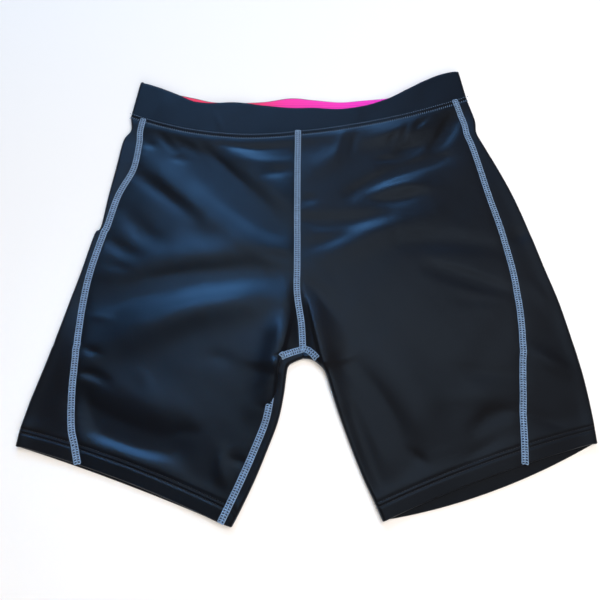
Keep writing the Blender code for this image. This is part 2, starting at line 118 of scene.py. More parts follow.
# Bars of thread across a flatlock lane, mm
BAR_START = 0.2
BAR_END = 2.75
BAR_SLANT = 0.25
BAR_LIFT = np.array((0.45, 0.68, 0.74, 0.7, 0.42))
BAR_WIDTHS = np.array((0.42, 0.58, 0.6, 0.58, 0.42))
DASH_WIDTHS = np.array((0.5, 0.9, 1.0, 0.9, 0.5))

# The seams' thread runs on over the waistband by this much, mm
WAIST_RUN = (0.0, FLATLOCK_OVER_WAIST)

# Right inseam where it leaves the crotch, in the tables' frame, mm
RIGHT_BRANCH = ((2.6, -50.5), (7.8, -52.6), (12.6, -57.0), (15.8, -60.8))

# Between these, mm of y, the left inseam lies under the lapped front
TAPE_HIDDEN = (-60.5, -93.0)

# Colours
# The left front's navy is painted cool skylight on the black cloth; the right front takes the
# black
CLOTH_PAINTED_SKYLIT = (0.0030, 0.0029, 0.0036, 1.0)
CLOTH_PAINTED_SKYLIT_PALE = (0.0044, 0.0043, 0.0054, 1.0)
CLOTH_BLACK = (0.0044, 0.0038, 0.0040, 1.0)
CLOTH_BLACK_LIGHT = (0.0060, 0.0053, 0.0056, 1.0)
# The cloth's satin reflection is real; its blue tint is painted skylight
SATIN_PAINTED_SKY_TINT = (0.42, 0.68, 1.0, 1.0)
# The elastic is pink; its coral is painted shade and its magenta painted blue skylight
LINING_PAINTED_SHADE_CORAL = (1.0, 0.045, 0.12, 1.0)
LINING_PINK = (1.0, 0.03, 0.38, 1.0)
LINING_PAINTED_SKYLIT_MAGENTA = (1.0, 0.03, 0.62, 1.0)
STEEL_THREAD = (0.20, 0.32, 0.50, 1.0)
LANE_SHADE = (0.012, 0.02, 0.04, 1.0)
BAND_STITCH = (0.13, 0.22, 0.36, 1.0)
HEM_STITCH = (0.010, 0.013, 0.020, 1.0)
FLOOR_WHITE = (0.86, 0.86, 0.86, 1.0)
WINDOW_BLUE = (0.28, 0.60, 1.0)
ROOM_WARM = (1.0, 0.93, 0.86)
CEILING_WHITE = (1.0, 0.86, 0.78)
ROOM_GLOW = (1.0, 0.90, 0.85, 1.0)

CAMERA_ELEVATION = 70.0
CAMERA_DISTANCE = 0.585

# A section of one half of the shorts, mm. front: the inner end of its upper
# layer, on the centre front seam or the inseam. back: the inner end of its
# lower layer, on the centre back seam or the leg's inner fold. outer: the outer
# fold. inset: from the outer fold to the side seam. bow: how far the middle of
# the section bends towards the waist. steps: mesh rows to the next section.
Section = namedtuple(
    "Section",
    "front_x front_y back_x back_y outer_x outer_y inset bow bow_back steps",
)

LEFT_BODY = (
    Section(-2.2, 189.8, -2.0, 205.0, -187.5, 213.0, 14.5, -13.0, -7.0, 2),
    Section(-2.4, 172.0, -2.0, 186.0, -185.6, 197.0, 10.6, -10.0, -5.0, 1),
    Section(-2.6, 160.0, -2.0, 172.0, -192.6, 183.5, 18.0, -8.0, -4.0, 2),
    Section(-2.8, 134.0, -2.0, 142.0, -196.8, 151.0, 19.0, -4.0, -2.0, 2),
    Section(-2.9, 104.0, -2.0, 108.0, -201.5, 115.0, 10.5, 0.0, 0.0, 2),
    Section(-2.9, 76.0, -1.5, 78.0, -205.3, 79.0, 7.0, 0.0, 0.0, 1),
    Section(-2.8, 68.0, -1.5, 70.0, -210.8, 70.5, 9.4, 0.0, 0.0, 2),
    Section(-2.9, 36.0, -1.0, 36.0, -219.5, 27.5, 9.8, 0.0, 0.0, 2),
    Section(-2.9, 6.0, 0.0, 4.0, -226.5, -3.0, 13.6, 0.0, 0.0, 2),
    Section(1.2, -24.0, 1.5, -28.0, -231.5, -26.0, 18.4, 0.0, 0.0, 1),
    Section(2.4, -46.0, 2.6, -52.0, -234.6, -39.5, 21.6, 0.0, 0.0, 1),
    Section(2.6, -51.5, 3.0, -60.3, -236.0, -47.0, 23.4, 0.0, 0.0, 1),
)

LEFT_LEG = (
    Section(2.6, -51.5, 3.0, -60.3, -236.0, -47.0, 23.4, 0.0, 0.0, 1),
    Section(-9.5, -55.6, -5.0, -63.6, -237.6, -52.0, 24.6, 0.0, 0.0, 1),
    Section(-19.4, -61.0, -10.4, -67.4, -239.4, -60.0, 27.0, 0.4, 0.0, 1),
    Section(-24.6, -73.0, -12.4, -75.0, -242.2, -71.0, 30.0, 0.8, 0.0, 2),
    Section(-27.0, -95.0, -15.0, -95.5, -246.0, -85.5, 34.0, 1.6, 0.0, 2),
    Section(-31.4, -119.0, -20.0, -119.5, -249.6, -99.0, 38.4, 2.6, 0.6, 2),
    Section(-41.0, -144.5, -29.2, -144.5, -252.2, -111.0, 43.0, 3.6, 1.2, 2),
    Section(-51.6, -169.6, -39.6, -170.2, -254.0, -120.5, 48.0, 4.4, 1.8, 2),
    Section(-62.4, -193.2, -51.4, -195.6, -255.2, -127.0, 55.0, 5.0, 2.2, 2),
    Section(-68.6, -206.4, -58.7, -209.7, -256.5, -141.4, 61.6, 5.0, 2.4, 1),
)

RIGHT_BODY = (
    Section(-2.2, 189.8, -2.0, 205.0, 187.4, 236.0, 14.0, -6.6, -7.0, 2),
    Section(-2.4, 172.0, -2.0, 186.0, 193.6, 210.0, 13.2, -5.0, -5.0, 1),
    Section(-2.6, 160.0, -2.0, 172.0, 193.6, 194.0, 11.4, -4.0, -4.0, 1),
    Section(-2.7, 149.0, -2.0, 158.0, 199.0, 179.0, 12.6, -3.0, -3.0, 2),
    Section(-2.8, 128.0, -2.0, 134.0, 211.4, 149.0, 19.0, -1.0, -1.0, 2),
    Section(-2.9, 102.0, -2.0, 106.0, 224.0, 114.5, 25.4, 0.0, 0.0, 2),
    Section(-2.9, 72.0, -1.5, 74.0, 235.4, 74.0, 28.6, 0.0, 0.0, 2),
    Section(-2.9, 40.0, -1.0, 40.0, 245.4, 33.0, 33.0, 0.0, 0.0, 2),
    Section(-2.9, 8.0, 0.0, 6.0, 254.2, -2.0, 39.6, 0.0, 0.0, 2),
    Section(1.0, -22.0, 1.5, -26.0, 259.0, -28.0, 44.6, 0.0, 0.0, 1),
    Section(2.4, -46.0, 2.6, -52.0, 261.6, -44.0, 48.4, 0.0, 0.0, 1),
    Section(3.0, -60.3, 3.0, -60.3, 263.2, -53.0, 50.6, 0.0, 0.0, 1),
)

RIGHT_LEG = (
    Section(3.0, -60.3, 3.0, -60.3, 263.2, -53.0, 50.6, 0.0, 0.0, 1),
    Section(11.2, -61.6, 11.2, -61.6, 264.0, -59.0, 52.4, 0.0, 0.0, 1),
    Section(18.6, -67.2, 18.6, -67.2, 265.0, -66.5, 54.4, 0.4, -0.4, 1),
    Section(24.2, -75.0, 24.2, -75.0, 266.0, -75.0, 56.4, 0.8, -0.8, 2),
    Section(30.2, -95.0, 30.2, -95.0, 267.4, -89.0, 59.6, 1.6, -1.6, 2),
    Section(37.8, -119.0, 37.8, -119.0, 268.2, -101.5, 62.4, 2.6, -3.0, 2),
    Section(47.6, -147.0, 47.6, -147.0, 268.6, -111.0, 65.0, 3.6, -5.0, 2),
    Section(56.8, -171.0, 56.8, -171.0, 268.7, -118.5, 67.4, 4.4, -6.6, 2),
    Section(65.6, -190.8, 65.6, -190.8, 268.7, -123.5, 70.0, 5.0, -8.0, 2),
    Section(71.5, -205.2, 71.5, -205.2, 268.7, -139.0, 72.0, 5.0, -8.4, 1),
)

# The waistband's free edge, mm: it sags at the front and shows the back inside
TopEdge = namedtuple("TopEdge", "x front_y back_y")

TOP_EDGE = (
    TopEdge(-181.0, 259.5, 259.5),
    TopEdge(-157.0, 252.0, 251.0),
    TopEdge(-137.0, 243.0, 246.0),
    TopEdge(-119.0, 234.0, 241.5),
    TopEdge(-100.0, 231.5, 236.5),
    TopEdge(-73.0, 232.5, 235.0),
    TopEdge(-40.0, 228.0, 236.5),
    TopEdge(-10.0, 224.8, 241.5),
    TopEdge(15.0, 225.0, 239.0),
    TopEdge(45.0, 223.5, 236.0),
    TopEdge(72.0, 228.0, 238.5),
    TopEdge(98.0, 237.5, 241.5),
    TopEdge(118.0, 249.0, 248.0),
    TopEdge(145.0, 264.0, 259.5),
    TopEdge(165.0, 272.5, 269.5),
    TopEdge(181.5, 275.3, 275.3),
)

# Soft folds of the upper layer, mm: a line from one end to the other that bows
# by sway to its left, and a ridge, or a trough where the height is negative
Fold = namedtuple("Fold", "x0 y0 x1 y1 sway width height")

FOLDS = (
    # Left hip
    Fold(-128, 172, -8, 60, 2, 38, -3.0),
    Fold(-165, 160, -10, 44, -12, 30, 1.8),
    Fold(-88, 178, -8, 98, 5, 30, 1.8),
    Fold(-176, 143, -108, 90, 0, 15, -1.6),
    Fold(-180, 95, -140, 60, -3, 20, -1.2),
    Fold(-198, 65, -162, 45, -2, 13, -1.2),
    # Left leg
    Fold(-180, 34, -20, 52, 4, 36, 1.6),
    Fold(-204, -4, -12, 28, 8, 32, -3.0),
    Fold(-206, -62, -16, 2, 16, 38, 3.4),
    Fold(-190, -76, -104, -114, -6, 34, 1.8),
    Fold(-204, -102, -112, -144, -9, 28, -3.2),
    Fold(-190, -138, -108, -164, 0, 18, 1.7),
    Fold(-70, -146, -64, -178, -3, 13, 1.3),
    Fold(-214, -8, -203, -140, -4, 50, 1.5),
    # Both sides of the crotch
    Fold(-14, -8, -38, -106, 4, 24, 3.2),
    Fold(-3, 12, 2, -48, 0, 14, -2.6),
    Fold(11, -8, 38, -100, -4, 22, 2.8),
    # Right hip
    Fold(54, 116, 158, 162, 4, 17, -2.4),
    Fold(78, 121, 142, 126, 5, 18, 1.6),
    Fold(92, 150, 138, 181, 0, 16, -1.4),
    Fold(140, 165, 178, 229, -3, 16, -2.2),
    Fold(70, 184, 142, 202, 0, 24, 1.8),
    Fold(62, 188, 14, 142, 0, 26, 1.7),
    Fold(4, 84, 90, 91, -3, 18, -2.0),
    Fold(6, 55, 56, 73, 0, 16, -1.4),
    Fold(28, 48, 136, 92, 4, 30, 2.2),
    Fold(104, 61, 206, 53, 5, 20, -1.5),
    Fold(130, 33, 212, 4, 0, 15, -1.6),
    # Right leg
    Fold(16, 12, 52, -56, 4, 24, -1.6),
    Fold(44, -60, 98, -152, 3, 26, -2.4),
    Fold(84, -50, 124, -142, 3, 44, 1.8),
    Fold(44, -96, 70, -176, 0, 15, -1.3),
    Fold(160, -125, 200, -110, 4, 15, -1.6),
    Fold(145, -157, 176, -141, 0, 13, -1.3),
    Fold(220, -52, 258, -78, 0, 18, 1.8),
    Fold(214, 65, 236, 73, 0, 13, -1.2),
    # Waistband
    Fold(-150, 206, -144, 244, 0, 12, 0.7),
    Fold(-128, 200, -121, 234, 0, 12, -0.6),
    Fold(-108, 196, -104, 230, 0, 12, 0.6),
)

# Small creases that the solids are too coarse for
CREASES = (
    # Under the waistband, left
    Fold(-158, 198, -136, 172, 0, 9, -1.3),
    Fold(-142, 190, -108, 166, 0, 9, -1.2),
    Fold(-106, 175, -62, 129, 0, 10, -1.0),
    Fold(-168, 182, -158, 175, 0, 9, -0.6),
    Fold(-138, 162, -118, 158, 0, 8, -0.6),
    Fold(-84, 178, -16, 175, -3, 9, -1.0),
    Fold(-70, 163, -8, 157, -3, 14, 0.8),
    Fold(-44, 140, -12, 145, 0, 11, -0.6),
    # Left leg
    Fold(-196, 38, -170, 32, 0, 9, -0.6),
    Fold(-36, 49, -8, 42, 0, 9, -0.9),
    Fold(-206, -18, -184, -21, 0, 8, 0.6),
    Fold(-207, -51, -190, -56, 0, 8, -0.8),
    Fold(-208, -74, -182, -82, 2, 10, -1.3),
    Fold(-200, -92, -170, -124, -4, 11, -1.0),
    Fold(-124, -134, -92, -130, 3, 11, -0.7),
    Fold(-62, -152, -48, -158, 0, 9, -0.8),
    Fold(-90, -60, -62, -64, 3, 13, -0.5),
    Fold(-158, -70, -136, -92, 2, 15, 0.5),
    Fold(-248, -131, -216, -130, 0, 9, -0.6),
    Fold(-20, -62, -28, -97, 0, 9, -2.2),
    # Right hip
    Fold(96, 181, 108, 193, 0, 7, -0.8),
    Fold(110, 185, 118, 201, 0, 7, -0.9),
    Fold(124, 197, 138, 210, 0, 7, -0.9),
    Fold(104, 169, 130, 176, 2, 9, -1.0),
    Fold(84, 159, 104, 161, 0, 8, -0.8),
    Fold(118, 151, 157, 163, -2, 8, -0.9),
    Fold(143, 174, 173, 227, -2, 8, -1.4),
    Fold(58, 122, 156, 164, 4, 8, -1.3),
    Fold(72, 186, 146, 206, 0, 22, 1.6),
    Fold(28, 178, 62, 196, 0, 20, 0.8),
    Fold(48, 194, 36, 160, 0, 9, 0.5),
    Fold(62, 194, 55, 168, 0, 9, -0.5),
    Fold(72, 111, 128, 119, -5, 13, -1.2),
    Fold(2, 109, 18, 112, 0, 12, -0.8),
    Fold(2, 90, 30, 80, 0, 11, -0.9),
    Fold(4, 22, 28, -10, 2, 12, -1.1),
    Fold(22, 44, 44, 6, 0, 16, -0.7),
    # Right leg
    Fold(150, 0, 205, -4, 0, 12, -0.5),
    Fold(134, 38, 210, 9, 0, 8, -0.8),
    Fold(140, -70, 206, -78, 0, 16, -0.7),
    Fold(130, -98, 200, -94, 0, 22, 0.8),
    Fold(98, -146, 112, -157, 0, 10, -0.9),
    Fold(206, -110, 244, -126, 0, 13, -0.9),
    Fold(228, 20, 246, -10, 0, 14, 0.6),
    # Waistband
    Fold(-158, 216, -150, 240, 0, 7, 0.5),
    Fold(-136, 208, -131, 232, 0, 6, -0.5),
    Fold(-94, 220, -84, 192, 0, 5, 0.6),
    Fold(-100, 200, -97, 226, 0, 5, -0.4),
    Fold(60, 204, 66, 224, 0, 14, 0.3),
    Fold(140, 232, 146, 256, 0, 10, -0.3),
)

# Folds that stand over the crotch, mm: a line, how far it bows to its left, which
# side of it is raised (1 left, -1 right), how far the raised side reaches, and
# its height over the other side
Lip = namedtuple("Lip", "x0 y0 x1 y1 sway side reach height")

LIPS = (
    Lip(-6, -8, -20, -68, 1.5, -1, 26, 2.4),
    Lip(6, 4, 20, -64, -1.0, 1, 26, 2.2),
)
LIP_EDGE = 0.8

# Where the left leg's front laps over its inseam: share of the leg's length,
# how far it laps, how much it lifts, and how it rolls under at the end, mm
LAP_FROM = 0.10
LAP_TO = 0.30
LAP_REACH = 5.4
LAP_LIFT = 2.4
LAP_FADE = 7.0
LAP_ROLL = 2.2
LAP_ROLL_REACH = 1.2
LAP_ROLL_IN = 0.35
LAP_ROLL_DOWN = 0.6

# Broad unevenness of the cloth as it lies, mm: (along x, along y, phase, height)
Swell = namedtuple("Swell", "x_length y_length phase height")

SWELLS = (
    Swell(97.0, 140.0, 0.4, 0.10),
    Swell(-61.0, 83.0, 2.1, 0.07),
    Swell(43.0, -58.0, 4.4, 0.05),
    Swell(29.0, 33.0, 1.3, 0.025),
)

# Grooves that stitching pulls into the cloth, mm
GROOVE_HALF = 1.3
HEM_GROOVE = 0.45
HEM_ROWS = (HEM_DEPTH, HEM_DEPTH - 3.6)
WAIST_STEP = 0.3
WAIST_STEP_REACH = 4.0
WAIST_ROWS = (-0.5, 4.2)
SEAM_DIP = 0.35
SEAM_DIP_REACH = 5.0
PUCKER_PITCH = 8.6
PUCKER_HEIGHT = 0.12
PUCKER_REACH = 7.0

# A fold's radius is half the cloth's height this far inside it, mm
FOLD_PROBE = 2.5

# How softly a trough comes to rest on the layer below, mm squared
SETTLE_SOFTNESS = 0.4

# The side seams' thread runs on past the panel by this share of three rows
SIDE_RUN = 0.9

# A row of stitches, mm
Stitch = namedtuple("Stitch", "length pitch radius lift slant")

BAND_LOWER = Stitch(0.7, 2.5, 0.33, 0.5, 2.4)
BAND_UPPER = Stitch(1.3, 2.6, 0.34, 0.36, 0.0)
HEM_ROW = Stitch(2.0, 2.6, 0.2, 0.22, 0.0)

# Lamps, metres, watts and degrees of spread
Lamp = namedtuple("Lamp", "name place aim size power colour spread glossy")

MIDDLE = (0.0, 0.0, 0.0)
SKYLIGHT_AIM = (-0.13, -0.13, 0.0)
ROOM_SIZE = (1.6, 1.6)

LAMPS = (
    Lamp("window", (-0.3, 1.9, 1.3), MIDDLE, (1.2, 0.6), 27.0, WINDOW_BLUE, 180, True),
    Lamp("ceiling", (0.12, 0.5, 2.0), MIDDLE, (1.5, 0.8), 5.0, CEILING_WHITE, 180, True),
    Lamp(
        "skylight", (-0.35, 0.8, 1.25), SKYLIGHT_AIM, (0.2, 0.15), 0.045, WINDOW_BLUE, 14, True
    ),
    Lamp("room_front", (0.5, -1.8, 1.3), MIDDLE, ROOM_SIZE, 42.0, ROOM_WARM, 180, False),
    Lamp("room_top", (0.9, 0.3, 2.0), MIDDLE, ROOM_SIZE, 36.0, ROOM_WARM, 180, False),
)

Station = namedtuple("Station", "front back outer inset bow bow_back wall leg")
Shell = namedtuple("Shell", "points normals wall there")


def unit(v):
    v = np.asarray(v, float)
    return v / np.linalg.norm(v, axis=-1, keepdims=True)


def lerp(a, b, t):
    return a + (b - a) * t


def through(rows, i, t):
    """Smooth curve through table rows, from row i towards row i + 1."""
    a = rows[max(i - 1, 0)]
    b = rows[i]
    c = rows[i + 1]
    d = rows[min(i + 2, len(rows) - 1)]
    m0 = (c - a) / 2
    m1 = (d - b) / 2
    cubic = 2 * b - 2 * c + m0 + m1
    square = -3 * b + 3 * c - 2 * m0 - m1
    return ((cubic * t + square) * t + m0) * t + b


def station(values, wall, leg):
    return Station(
        values[0:2], values[2:4], values[4:6], values[6], values[7], values[8], wall, leg
    )


def stations(body, leg_rows, split):
    """Mesh rows from the waist seam to the hem, and the index of the crotch row."""
    made = []
    crotch = 0
    for leg, sections in ((False, body), (True, leg_rows)):
        rows = [np.array(section[:-1], float) for section in sections]
        last = len(rows) - 1
        if leg:
            crotch = len(made)
        for i in range(last):
            hem = leg and i == last - 1
            steps = sections[i].steps * (HEM_SPLIT if hem and split > 1 else split)
            for step in range(steps):
                wall = HEM_CLOTH if hem else CLOTH
                made.append(station(through(rows, i, step / steps), wall, leg))
    made.append(station(rows[last], HEM_CLOTH, True))
    return made, crotch


def along(st, f, lower=False):
    """Plan point on a section, from its inner end at 0 to the outer fold at 1."""
    inner = st.back if lower else st.front
    bow = st.bow_back if lower else st.bow
    return lerp(inner, st.outer, f) + np.array((0.0, 4 * f * (1 - f) * bow))


def distance_to_path(x, y, path):
    """Shortest plan distance from points to a path of straight runs."""
    best = np.full(np.shape(x), 1e9)
    for (ax, ay), (bx, by) in zip(path[:-1], path[1:]):
        dx, dy = bx - ax, by - ay
        t = np.clip(((x - ax) * dx + (y - ay) * dy) / (dx * dx + dy * dy), 0, 1)
        best = np.minimum(best, np.hypot(x - ax - t * dx, y - ay - t * dy))
    return best


def fold_relief(x, y, folds):
    """Sum of the soft ridges and troughs at plan points."""
    total = np.zeros(np.shape(x))
    for fold in folds:
        dx, dy = fold.x1 - fold.x0, fold.y1 - fold.y0
        length = np.hypot(dx, dy)
        t = np.clip(((x - fold.x0) * dx + (y - fold.y0) * dy) / length**2, 0, 1)
        bend = fold.sway * 4 * t * (1 - t)
        px = fold.x0 + t * dx - bend * dy / length
        py = fold.y0 + t * dy + bend * dx / length
        away = np.hypot(x - px, y - py) / (fold.width / 2)
        total += fold.height * (0.35 + 0.65 * np.sin(pi * t)) * np.exp(-away * away)
    return total


def lip_relief(x, y):
    """Sum of the folds that rise steeply on one side only."""
    total = np.zeros(np.shape(x))
    for lip in LIPS:
        dx, dy = lip.x1 - lip.x0, lip.y1 - lip.y0
        length = np.hypot(dx, dy)
        raw = ((x - lip.x0) * dx + (y - lip.y0) * dy) / length**2
        t = np.clip(raw, 0, 1)
        away = ((y - lip.y0) * dx - (x - lip.x0) * dy) / length
        away = (away - lip.sway * 4 * t * (1 - t)) * lip.side
        rise = 1 / (1 + np.exp(-np.clip(away / LIP_EDGE * 3, -40, 40)))
        fade = np.exp(-((np.maximum(away, 0) / lip.reach) ** 2))
        ends = np.exp(-((np.maximum(raw - 1, 0) * length / 6.0) ** 2))
        grow = np.clip(raw * 1.8, 0, 1)
        total += lip.height * rise * fade * ends * grow * grow * (3 - 2 * grow)
    return total


COARSE_LEFT, _ = stations(LEFT_BODY, LEFT_LEG, 1)
COARSE_RIGHT, _ = stations(RIGHT_BODY, RIGHT_LEG, 1)
EDGES = (
    [st.outer for st in COARSE_LEFT],
    [st.outer for st in COARSE_RIGHT],
    [st.back for st in COARSE_LEFT if st.leg],
    [st.back for st in COARSE_RIGHT if st.leg],
)
SHARES = np.linspace(0, 1, 13)
HEMS = (
    [along(COARSE_LEFT[-1], f) for f in SHARES],
    [along(COARSE_RIGHT[-1], f) for f in SHARES],
)
WAIST = np.array(
    [along(COARSE_LEFT[0], f) for f in SHARES[::-1]]
    + [along(COARSE_RIGHT[0], f) for f in SHARES[1:]]
)


def side_seam(st):
    """Share of the section at its side seam, and that point before the bow."""
    share = 1 - st.inset / np.linalg.norm(st.outer - st.front)
    return share, lerp(st.front, st.outer, share)


SEAM_PATHS = (
    [st.front for st in COARSE_LEFT if not st.leg],
    [st.front for st in COARSE_LEFT if st.leg],
    [along(st, side_seam(st)[0]) for st in COARSE_LEFT],
    [along(st, side_seam(st)[0]) for st in COARSE_RIGHT],
)


def height(x, y):
    """Height of the upper layer's outer face at plan points."""
    edge = np.min([distance_to_path(x, y, path) for path in EDGES], axis=0)
    hem = np.min([distance_to_path(x, y, path) for path in HEMS], axis=0)
    seam = np.min([distance_to_path(x, y, path) for path in SEAM_PATHS], axis=0)
    below_waist = np.interp(x, WAIST[:, 0], WAIST[:, 1]) - y
    below = np.maximum(below_waist, 0)
    near_waist = np.exp(-((below / WAIST_REACH) ** 2))
    past_hem = np.maximum(hem - HEM_DEPTH, 0)
    near_hem = np.exp(-((past_hem / HEM_REACH) ** 2))
    relief = fold_relief(x, y, FOLDS)
    small = fold_relief(x, y, CREASES)
    for swell in SWELLS:
        wave = x * 2 * pi / swell.x_length + y * 2 * pi / swell.y_length + swell.phase
        small += swell.height * np.sin(wave)
    loose = PUFF + relief * (1 - 0.5 * near_hem) * (1 - 0.6 * near_waist)
    loose = loose + small * (1 - 0.4 * near_hem) + lip_relief(x, y)
    loose = (loose + np.sqrt(loose * loose + SETTLE_SOFTNESS)) / 2
    flat = 2 * CLOTH + LAYER_GAP
    edges = EDGE_LOFT * np.exp(-((edge / EDGE_REACH) ** 2))
    body = flat + loose + edges + HEM_RISE * near_hem
    band = BAND_STACK + loose - PUFF
    surface = lerp(body, np.maximum(band, BAND_STACK), near_waist)
    panel = below_waist > 0.05
    ripple = np.sin(y * 2 * pi / PUCKER_PITCH + 2.6 * np.sin(y / 19.0) + x / 9.0)
    ripple = ripple * (0.6 + 0.4 * np.sin(y / 14.0 + x / 60.0))
    pucker = PUCKER_HEIGHT * ripple * np.exp(-((seam / PUCKER_REACH) ** 2))
    dip = SEAM_DIP * np.exp(-((seam / SEAM_DIP_REACH) ** 2))
    surface = surface + (pucker - dip) * (1 - near_waist)
    for row in HEM_ROWS:
        surface = surface - HEM_GROOVE * np.exp(-(((hem - row) / GROOVE_HALF) ** 2))
    step = WAIST_STEP * np.exp(-((below / WAIST_STEP_REACH) ** 2))
    return surface - np.where(panel, step, 0.0)


# A spot is a place on the surface: its plan point or its fold's edge, the way
# into the cloth from that edge, and the fold angle's cosine and sine.
def top(p):
    return (p[0], p[1], 0.0, 0.0, 0.0, 1.0)


def floor(p):
    return (p[0], p[1], 0.0, 0.0, 0.0, -1.0)


def fold(edge, inward, angle):
    turn = radians(angle)
    return (edge[0], edge[1], inward[0], inward[1], cos(turn), sin(turn))


def heights_and_slopes(x, y):
    step = 0.4
    z = height(x, y)
    slope_x = (height(x + step, y) - height(x - step, y)) / (2 * step)
    slope_y = (height(x, y + step) - height(x, y - step)) / (2 * step)
    return z, unit(np.stack((-slope_x, -slope_y, np.ones_like(z)), -1))


def fold_radius(edge, inward):
    inside = edge + inward * FOLD_PROBE
    return float(height(inside[0], inside[1])) / 2


def settle(spots):
    """Points and outward normals of an array of spots."""
    edge, inward, c, s = spots[..., 0:2], spots[..., 2:4], spots[..., 4], spots[..., 5]
    inside = edge + inward * FOLD_PROBE
    radius = height(inside[..., 0], inside[..., 1]) / 2
    on_floor = s <= -1
    plan = edge + inward * (radius * (1 - c))[..., None]
    z, up = heights_and_slopes(plan[..., 0], plan[..., 1])
    rise = np.where(s > 0, z - radius, radius)
    depth = np.where((c == 0) & (s > 0), z, radius + rise * s)
    depth = np.where(on_floor, 0.0, depth)
    points = np.concatenate((plan, depth[..., None]), -1)
    lift = np.where((s > 0)[..., None], up, np.array((0.0, 0.0, 1.0)))
    flat_inward = np.concatenate((inward, np.zeros_like(c)[..., None]), -1)
    normals = lift * s[..., None] - flat_inward * c[..., None]
    return points, unit(normals)


def shell_of(rows, walls):
    """Shell from rows of spots, with None where nothing is."""
    empty = (0.0, 150.0, 0.0, 0.0, 0.0, 1.0)
    there = np.array([[item is not None for item in row] for row in rows])
    spots = np.array([[item or empty for item in row] for row in rows])
    points, normals = settle(spots)
    return Shell(points, normals, np.array(walls), there)


def across(path, i, towards):
    """Unit vector square to a path of plan points, on the side of another point."""
    run = path[min(i + 1, len(path) - 1)] - path[max(i - 1, 0)]
    side = unit((-run[1], run[0]))
    return side if np.dot(side, towards - path[i]) > 0 else -side


LEFT, LEFT_CROTCH = stations(LEFT_BODY, LEFT_LEG, ROW_SPLIT)
RIGHT, RIGHT_CROTCH = stations(RIGHT_BODY, RIGHT_LEG, ROW_SPLIT)


def outer_inward(rows, i):
    return across([st.outer for st in rows], i, rows[i].front)


def right_inward(i):
    """Way into the right leg from its inner fold; at the crotch it turns to +Y."""
    if i == RIGHT_CROTCH:
        return np.array((0.0, 1.0))
    path = [st.back for st in RIGHT[RIGHT_CROTCH:]]
    return across(path, i - RIGHT_CROTCH, RIGHT[i].outer)


def waist_shift(i):
    """The panels stop half a gap short of the waistband."""
    return np.array((0.0, -SEAM_GAP / 2 if i == 0 else 0.0))


def crotch_share(i, crotch):
    """How far a row above the crotch has turned to meet the first leg row."""
    return max(0.0, 1 - (crotch - i) / CROTCH_ROWS)


def front_row(rows, i, crotch, sign):
    """One row of a front panel, from its inner end to the side seam."""
    st = rows[i]
    share, seam = side_seam(st)
    half = SEAM_GAP / 2
    row = []
    if sign > 0:
        row = [None] * len(FOLD_ANGLES)
    if sign > 0 and st.leg:
        inward = right_inward(i)
        edge = st.back + np.array((half if i == crotch else 0.0, 0.0))
        radius = fold_radius(edge, inward)
        row = [floor(edge + inward * (radius + INSEAM_UNDER))]
        row += [fold(edge, inward, angle) for angle in FOLD_ANGLES[:0:-1]]
        start = edge + inward * radius
        second = start + unit(seam - start) * FLATLOCK_HALF
    elif st.leg:
        outward = unit(st.front - st.back)
        into = unit(outward + unit(seam - st.front))
        shift = np.array((-half if i == crotch else 0.0, 0.0))
        start = st.front + into * half + shift
        second = st.front + into * FLATLOCK_HALF
    else:
        rise = 0.0
        if sign > 0:
            rise = fold_radius(rows[crotch].back, np.array((0.0, 1.0)))
        rise = rise * crotch_share(i, crotch)
        start = st.front + np.array((sign * half, rise))
        towards = unit(seam - st.front)
        if sign < 0:
            leg = rows[crotch]
            turned = unit(unit(leg.front - leg.back) + unit(leg.outer - leg.front))
            towards = unit(lerp(towards, turned, crotch_share(i, crotch)))
        second = start + towards * (FLATLOCK_HALF - half)
    ends = unit(second - seam)
    last = seam + ends * FLATLOCK_HALF
    stops = [start, lerp(start, second, 0.5), second]
    spacing = (np.arange(1, SEAM_COLUMNS) / SEAM_COLUMNS) ** INNER_CROWD
    stops += [lerp(second, last, f) for f in spacing]
    stops += [last, seam + ends * (FLATLOCK_HALF + half) / 2, seam + ends * half]
    total = np.linalg.norm(seam - start)
    for p in stops:
        f = share * np.linalg.norm(p - start) / total
        row.append(top(p + np.array((0.0, 4 * f * (1 - f) * st.bow)) + waist_shift(i)))
    return row


